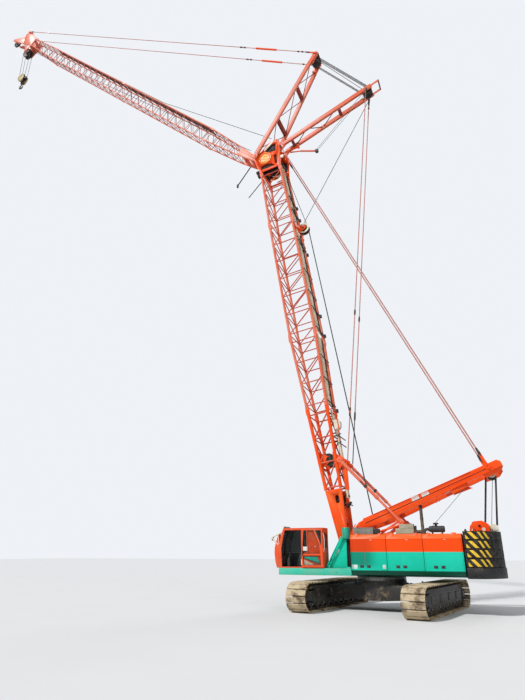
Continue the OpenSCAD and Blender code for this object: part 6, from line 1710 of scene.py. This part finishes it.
def pendantRun(start, end, radius, plates, socket=0.16):
    # a rod-like rope with a socket and a pair of link plates at both ends
    run = (end - start).normalized()
    ropes = [newRod(start + run * (plates + socket), end - run * (plates + socket), radius, 12)]
    sockets, links = [], []
    for tipPoint, way in ((start, run), (end, -run)):
        a = tipPoint + way * (plates + 0.004)
        sockets.append(newRod(a, a + way * socket, radius * 2.1, 16, 0.002, radius * 1.3))
        shape = newPlate([(-0.55, -0.5), (-0.35, -0.72), (0.35, -0.72), (0.55, -0.5), (0.55, 0.5), (0.35, 0.72),
            (-0.35, 0.72), (-0.55, 0.5)], -0.2, 0.2, 0)
        shape.data.transform(Matrix.Diagonal((radius * 3.4, radius * 1.2, plates * 0.9, 1)))
        side = Vector((0, 1, 0))
        rows = Matrix((way.cross(side).normalized() * -1, side, way)).transposed().to_4x4()
        for offset in (-radius * 0.85, radius * 0.85):
            spot = Matrix.Translation(tipPoint + way * plates * 0.5 + side * offset)
            links.append(roundEdges(duplicate(shape, spot @ rows), 0.002, 1))
        bpy.data.objects.remove(shape)
        for share in (0.08, 0.92):
            middle = tipPoint + way * plates * share
            sockets.append(newRod(middle - side * radius * 1.5, middle + side * radius * 1.5, radius * 0.75, 14))
    return ropes, sockets, links


def buildPendants():
    # boom pendants to the mast head, jib pendants to the front strut
    pairs = dict(
        boom=[(onBoom(12.45, 0.4, y), onMast(-3.68, 0.43, y), 0.016, 0.3) for y in (-0.5013, 0.5013)],
        jib=[(onFront(4.375, 0.04, y), onJib(17.38, 0.37, y), 0.013, 0.26) for y in (-0.278, 0.278)])
    for label, pair in pairs.items():
        ropes, sockets, links = ([piece for kind in made for piece in kind]
                                 for made in zip(*(pendantRun(*run) for run in pair)))
        if label == "jib":
            # long link bars and knots near the strut's head
            for start, end, _, _ in pair:
                links.append(newRod(start.lerp(end, 0.098), start.lerp(end, 0.152), 0.034, 8, 0.004))
                sockets += [newRod(start.lerp(end, t0), start.lerp(end, t1), 0.026, 12, 0.003)
                            for t0, t1 in ((0.03, 0.034), (0.04, 0.044), (0.181, 0.186), (0.19, 0.196))]
        dress(label + "PendantRopes", ropes, "pendant", label, label + "_pendants")
        dress(label + "PendantSockets", sockets, "socket", label)
        dress(label + "PendantLinks", links, "orange", label)


stayForm = dict(radius=0.014, top=(3.205, -0.02, 0.2293), low=(2.006, 0.47, 0.2597), joints=((0.655, 0.014),
    (0.885, 0.02)))


def buildStays():
    # a stay on each side from the rear strut's pin to the boom's foot, in three lengths
    f = stayForm
    for sign, label in ((1, "left"), (-1, "right")):
        a, b = onRear(f["top"][0], f["top"][1], sign * f["top"][2]), onBoom(f["low"][0], f["low"][1],
            sign * f["low"][2])
        r = f["radius"]
        upper = [newRod(a, a.lerp(b, 0.885), r, 12)]
        lower = [newRod(a.lerp(b, 0.903), b, r * (1.0 if sign > 0 else 0.9), 12)]
        sockets, links = [], []
        for share, length in f["joints"]:
            for start, end, r0, r1 in ((share, share + 0.006, r * 1.2, r * 1.9), (share + length - 0.006,
                    share + length, r * 1.9, r * 1.2)):
                sockets.append(newRod(a.lerp(b, start), a.lerp(b, end), r0, 16, 0.001, r1))
            links.append(newRod(a.lerp(b, share + 0.006), a.lerp(b, share + length - 0.006), r * 1.75, 8, 0.002))
            for inner in (share + 0.0075, share + length - 0.0075):
                middle = a.lerp(b, inner)
                sockets.append(newRod(middle - Vector((0, r * 2.1, 0)), middle + Vector((0, r * 2.1, 0)), r * 0.8, 12,
                    0.001))
        # the eye and thimble at the top hang on the strut's pin
        sockets.append(newRod(a.lerp(b, 0.006), a.lerp(b, 0.03), r * 2.6, 16, 0.003, r * 1.6))
        sockets.append(newRod(a.lerp(b, 0.034), a.lerp(b, 0.04), r * 1.9, 16, 0.002))
        dress(label + "StayRope", upper, "pendant", "boom", "rear_stays" if sign > 0 else None)
        dress(label + "StayRopeLow", lower, "pendant" if sign > 0 else "rope", "boom")
        dress(label + "StaySockets", sockets, "socket", "boom")
        # the near links in the darker brace finish: painted shade
        dress(label + "StayLinks", links, "brace" if sign > 0 else "socket", "boom")


def tangent(a, reachA, b, reachB, side):
    # where a rope leaves one wheel and meets the next, in the boom's own plane
    dx, dz = b[0] - a[0], b[1] - a[1]
    turn = math.atan2(dz, dx) + side * math.acos((reachA - reachB) / math.hypot(dx, dz))
    way = (math.cos(turn), math.sin(turn))
    return [(point[0] + reach * way[0], point[1] + reach * way[1]) for point, reach in ((a, reachA), (b, reachB))]


def ropeBetween(name, points, radius, finish, bodies, start=None, end=None):
    pieces = []
    for line in points:
        for a, b in zip(line, line[1:]):
            pieces.append(newRod(a, b, radius, 10))
    piece = joinPieces(name, pieces)
    if len(bodies) == 1:
        return dress(name, piece, finish, bodies[0])
    piece.data.materials.clear()
    piece.data.materials.append(finishes[finish])
    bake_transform(piece)
    return piece


def buildRopes():
    # strut to strut: a bundle over the wheels and one under them, with a single rope between
    a, b = onFront(*strutForm["frontWheel"]), onRear(*strutForm["rearWheel"])
    aside = Vector((0, 1, 0)).cross(b - a).normalized()
    falls = [[a + aside * r + Vector((0, y, 0)), b + aside * r + Vector((0, y * 0.92, 0))] for r,
        ys in ((-0.142, (-0.02, 0.03, 0.08)), (0.115, (-0.03, 0.02, 0.07, 0.12))) for y in ys]
    falls.append([a - aside * 0.03 + Vector((0, 0.2, 0)), b - aside * 0.09 + Vector((0, 0.16, 0))])
    ropeBetween("strutFalls", falls, 0.0085, "rope", ("boom", "front_strut"), onRear(3.205, 0, 0),
        onFront(4.275, 0, 0))
    # mast head to spreader: a thick pair on each side and a thin rope between
    spreaderTop, mastHead = (weightForm["spreader"], 0, 1.75), onMast(*mastForm["head"])
    falls = []
    for sign, top, low in ((1, -2.505, (-2.345, 1.745)), (-1, -2.7, (-2.575, 1.72))):
        for dx, y in ((0, 0.2), (0.012, 0.228), (-0.012, 0.25)):
            falls.append([Vector((top + dx, sign * y, 2.8)), Vector((low[0] + dx, sign * (y - 0.03), low[1]))])
    ropeBetween("mastThinFall", [[Vector((-2.635, 0.1, 2.78)), Vector((-2.462, 0.05, 1.7))]], 0.006, "rope",
        ("upper_works", "mast"), spreaderTop, mastHead)
    ropeBetween("mastFalls", falls, 0.009, "rope", ("upper_works", "mast"), spreaderTop, mastHead)
    guy = Vector((-1.128, 0.5, 1.562)), Vector((-2.141, 0.435, 2.6))
    ropeBetween("mastGuy", [guy], 0.0045, "rope", ("upper_works", "mast"), *guy)
    # the guide arm under the rear strut, its two thin ropes, and the prop rods in front of the head
    end = Vector((1.054, 0.0, 13.146))
    dress("guideArm", [newRod((1.588, 0, 13.332), end, 0.03, 16, 0.003), newRod((1.95, 0.0, 13.4), (1.588, 0, 13.332),
        0.022, 16, 0.002)], "lattice", "boom")
    dress("guideArmEnd", [newRod(end + Vector((0, -0.05, 0)), end + Vector((0, 0.05, 0)), 0.055, 20, 0.006),
        newRod((3.25, 0.25, 13.045), (3.713, 0.25, 12.426), 0.018, 14, 0.003), newRod((2.855, 0.25, 12.318),
        (3.31, 0.25, 11.831), 0.014, 14, 0.003), newRod((3.713, 0.25, 12.47), (3.713, 0.25, 12.36), 0.034, 16,
        0.005)], "black", "boom")
    ropeBetween("guideArmRopes", [[end + Vector((0, y, 0.03)), onRear(3.205, -0.1, y * 2)] for y in (-0.03, 0.03)],
        0.006, "rope", ("boom",))
    # hoist ropes: winch, guide wheel, boom head and the rear strut's wheel
    g = guideForm
    wheel, reach = (g["along"], g["out"]), g["groove"] + g["rope"] + 0.0003
    hoistLines = [[onBoom(wheel[0], wheel[1] + reach, y), Vector((-0.02, y, 1.25))] for y in (-0.03, 0.03)]
    ends = tangent(wheel, reach, headForm["sheaveAt"], 0.2593, 1)
    hoistLines.append([onBoom(*ends[0], 0.03), onBoom(*ends[1], 0.07)])
    slope = math.radians(lines["rearStrutAngle"])
    L = strutForm["rearLength"] - 0.16
    rear = (lines["strutRoot"][0] + L * math.cos(slope) + 0.02 * math.sin(slope),
        lines["strutRoot"][2] + L * math.sin(slope) - 0.02 * math.cos(slope))
    ends = tangent(wheel, reach, rear, -0.1593, -1)
    hoistLines.append([onBoom(*ends[0], -0.03), onBoom(*ends[1], -0.05)])
    hoist = ropeBetween("hoistRopes", hoistLines, g["rope"], "rope", ("boom",))
    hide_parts("guide_ropes")
    ropeBetween("jibHoistRope", [[onJib(0.42, 0.983), onJib(6.091, 0.387), onJib(16.66, 0.3, 0.07),
        onJib(18.13, -0.157, 0.0)], [onJib(0.875, 0.315, -0.07), onJib(16.66, -0.306, -0.07)]], 0.009, "rope",
        ("jib",))


hookForm = dict(drop=1.56, topHalf=0.2313, lowHalf=0.1793, ropeY=0.07, rope=0.009, sheave=0.17)


def buildHook():
    form = hookForm
    hang, drop = onJib(*jibForm["lowSheave"]), form["drop"]
    low = move(hang.x, 0, hang.z - drop)
    falls = [newRod((hang.x + s * form["topHalf"], y, hang.z), (hang.x + s * form["lowHalf"], y, hang.z - drop),
        form["rope"], 10) for s in (-1, 1) for y in (-form["ropeY"], form["ropeY"])]
    dress("hookFalls", falls, "rope", "hook", "hook_falls")
    cheek = newPlate([(-0.12, 0.09), (0.12, 0.09), (0.2, 0), (0.185, -0.15), (0.08, -0.33), (-0.08, -0.33),
        (-0.185, -0.15), (-0.2, 0)], 0.104, 0.138, 0.008)
    caps = turnedAcross([(0, 0.138), (0.06, 0.138), (0.06, 0.146), (0.045, 0.15), (0, 0.15)], 0, 0, 0, 28)
    bolts = [newRod((x, 0.137, z), (x, 0.147, z), 0.014, 6) for x, z in ((-0.13, -0.02), (0.13, -0.02),
        (-0.07, -0.26), (0.07, -0.26), (0, 0.06))]
    half = bothSides(cheek, caps, *bolts)
    shift(low, half)
    dress("hookBlockCheeks", half, "hook", "hook", "hook_block")
    dark = [newSheave(form["sheave"], 0.05, 0.03, 0, 0, y) for y in (-form["ropeY"], form["ropeY"])]
    dark += [across(0.03, 0.29, 0, 0), across(0.046, 0.23, 0, -0.29), newRod((0, 0, -0.28), (0, 0, -0.4), 0.058, 28,
        0.004)]
    # forged hook, swept from a round section
    hookPath = [(0.0, -0.38, 0.036), (0.0, -0.43, 0.034), (0.004, -0.475, 0.032), (0.03, -0.515, 0.034),
        (0.068, -0.55, 0.038), (0.088, -0.6, 0.042), (0.074, -0.65, 0.044), (0.02, -0.68, 0.044),
        (-0.05, -0.672, 0.04), (-0.095, -0.63, 0.032), (-0.108, -0.59, 0.02), (-0.11, -0.57, 0.01)]
    rings = []
    for i, (x, z, r) in enumerate(hookPath):
        ax, az = hookPath[max(i - 1, 0)][:2]
        bx, bz = hookPath[min(i + 1, len(hookPath) - 1)][:2]
        way = Vector((bx - ax, 0, bz - az)).normalized()
        out = way.cross(Vector((0, 1, 0)))
        rings.append([Vector((x, 0, z)) + out * r * math.cos(a) + Vector((0, 1,
            0)) * r * 0.72 * math.sin(a) for a in (k * math.pi / 8 for k in range(16))])
    dark.append(newSkin(rings))
    dark.append(newRod((-0.1, 0, -0.565), (0.0, 0, -0.455), 0.007, 8))
    shift(low, *dark)
    dress("hookBlockSheaves", dark[:3], "sheave", "hook")
    dress("forgedHook", dark[3:], "socket", "hook")


def newSkin(rings):
    # a closed tube through rings of points
    mesh = bpy.data.meshes.new("skin")
    count, last = len(rings[0]), len(rings) - 1
    points = [tuple(point) for ring in rings for point in ring]
    faces = [(i * count + k, i * count + (k + 1) % count, (i + 1) * count + (k + 1) % count, (i + 1) * count + k)
             for i in range(last) for k in range(count)]
    faces += [tuple(range(count))[::-1], tuple(range(last * count, (last + 1) * count))]
    mesh.from_pydata(points, [], faces)
    piece = bpy.data.objects.new("skin", mesh)
    bpy.context.collection.objects.link(piece)
    editAll(piece, outward)
    return smooth(piece, 60)


walkForm = dict(boomRuns=((3.45, 0.262, 5.55, 0.36), (5.55, 0.36, 9.07, 0.36), (9.4, 0.36, 11.45, 0.3168)),
    sides=(-0.06, 0.33), jibRuns=((2.76, 8.49), (8.61, 14.34)), jibRise=0.2603, jibHalf=0.12, rung=0.32, panel=0.286,
    darkBars=(3.6, 4.24, 4.88, 5.715, 6.354, 6.88, 7.59, 8.6, 8.73, 9.72, 10.25), clamps=(3.49, 5.711, 6.355, 8.5,
    9.82, 10.3))


def chordHeight(s):
    # how far the rear chords stand from the boom's own axis
    sections = boomForm["sections"]
    for (s0, _, _, n0), (s1, _, _, n1) in zip(sections, sections[1:]):
        if s <= s1:
            return n0 + (n1 - n0) * (s - s0) / (s1 - s0)
    return sections[-1][3]


def buildWalkways():
    f = walkForm
    (low, high), half = f["sides"], f["jibHalf"]
    floors, edges, rungs = [], [], []
    for s0, n0, s1, n1 in f["boomRuns"]:
        tilt = math.degrees(math.atan2(n1 - n0, s1 - s0))
        place = boomPlace @ move(s0, 0, n0) @ turnY(-tilt) @ move(0.06, 0, 0.0153)
        length = (s1 - s0) / math.cos(math.radians(tilt)) - 0.12
        count = round(length / f["rung"])
        step = length / count
        for k in range(count):
            floors.append(newBox((k * step + 0.004, low + 0.01, 0), ((k + 1) * step - 0.004, high - 0.01, 0.01),
                0.0015, place))
            floors.append(newBox((k * step + 0.05, high - 0.1, 0.01), ((k + 1) * step - 0.05, high - 0.03, 0.016),
                0.002, place))
            if k % 2:
                rungs.append(newBox((k * step - 0.012, low, 0.002), (k * step + 0.012, low + 0.1, 0.026), 0.002,
                    place))
        edges.append(newBox((0, low, 0), (length, low + 0.01, 0.04), 0.002, place))
        floors.append(newBox((0, high - 0.01, 0), (length, high, 0.04), 0.002, place))
    dress("boomWalkwayFloor", floors, "walkway", "boom", "boom_walkway")
    dress("boomWalkwayRungs", [*edges, *rungs], "walkwayEdge", "boom")
    # bars across the boom's back, black as painted shade where laces lie in shadow, with the hose clamps on the far
    # chord
    bars = []
    for s in f["darkBars"]:
        n = chordHeight(s) + 0.048
        bars.append(newRod((s, -0.385, n), (s, 0.37, n), 0.013, 12, 0.002))
    for s in f["clamps"]:
        n = chordHeight(s) + 0.042
        bars.append(newBox((s - 0.055, -0.455, n - 0.05), (s + 0.055, -0.395, n + 0.05), 0.018))
        bars.append(newCable([(s + 0.02, -0.42, n + 0.02), (s - 0.08, -0.3, n + 0.05), (s - 0.14, -0.1, n + 0.02),
            (s - 0.02, 0.1, n + 0.015), (s, 0.33, n + 0.015)], 0.014))
    shift(boomPlace, *bars)
    dress("boomHoseBars", bars, "black", "boom")

    panels, gaps = [], []
    for s0, s1 in f["jibRuns"]:
        place = jibPlace @ move(s0, 0, f["jibRise"])
        length = s1 - s0
        count = round(length / f["panel"])
        step = length / count
        gaps.append(newBox((0, -half + 0.01, 0), (length, half - 0.01, 0.008), 0.0015, place))
        for y in (-half, half - 0.01):
            gaps.append(newBox((0, y, 0), (length, y + 0.01, 0.03), 0.002, place))
        for k in range(count):
            panels.append(newBox((k * step + 0.045, -half + 0.012, 0.008), ((k + 1) * step - 0.045, half - 0.012,
                0.022), 0.003, place))
    dress("jibWalkwayFloor", gaps, "walkwayEdge", "jib", "jib_walkway")
    dress("jibWalkwayPanels", panels, "walkwayPink", "jib")


guideForm = dict(along=9.14, out=0.57, groove=0.12, flange=0.165, rope=0.009)


def buildGuide():
    g = guideForm
    l, n = g["along"], g["out"]
    brackets = [newPlate([(l - 0.13, 0.392), (l + 0.11, 0.392), (l + 0.075, 0.61), (l + 0.02, 0.66),
        (l - 0.05, 0.63)], 0.088, 0.11, 0.004)]
    brackets.append(newPlate([(l - 0.17, 0.4), (l - 0.11, 0.4), (l - 0.02, 0.53), (l - 0.06, 0.56)], 0.108, 0.15,
        0.004))
    half = bothSides(*brackets)
    base = [newBox((l - 0.11, y, 0.3963), (l + 0.11, y + 0.06, 0.4223), 0.004) for y in (-0.415, 0.355)]
    base.append(newBox((l - 0.11, -0.415, 0.4), (l + 0.11, 0.415, 0.422), 0.004))
    shift(boomPlace, half, *base)
    dress("guideBracket", [half, *base], "orange", "boom", "guide_sheave")
    # a wide drum-like wheel: pale flanges and a dark groove
    rim, groove = g["flange"], g["groove"]
    drum = turnedAcross([(0.02, -0.078), (rim, -0.078), (rim, -0.058), (groove, -0.046), (groove, 0.046),
        (rim, 0.058), (rim, 0.078), (0.02, 0.078)], l, n, 0, 56, boomPlace)
    pale = [turnedAcross([(rim - 0.045, y), (rim + 0.002, y), (rim + 0.002, y + 0.022), (rim - 0.045, y + 0.022)], l,
        n, 0, 56, boomPlace) for y in (-0.08, 0.058)]
    axle = [across(0.018, 0.26, l, n, place=boomPlace), across(0.034, 0.232, l, n, place=boomPlace)]
    dress("guideWheel", [drum, *axle], "sheave", "boom")
    dress("guideWheelRims", pale, "paleSheave", "boom")


buildMast()
buildStruts()
buildPendants()
buildStays()
buildRopes()
buildGuide()
buildWalkways()
buildHook()
print("rigging built")
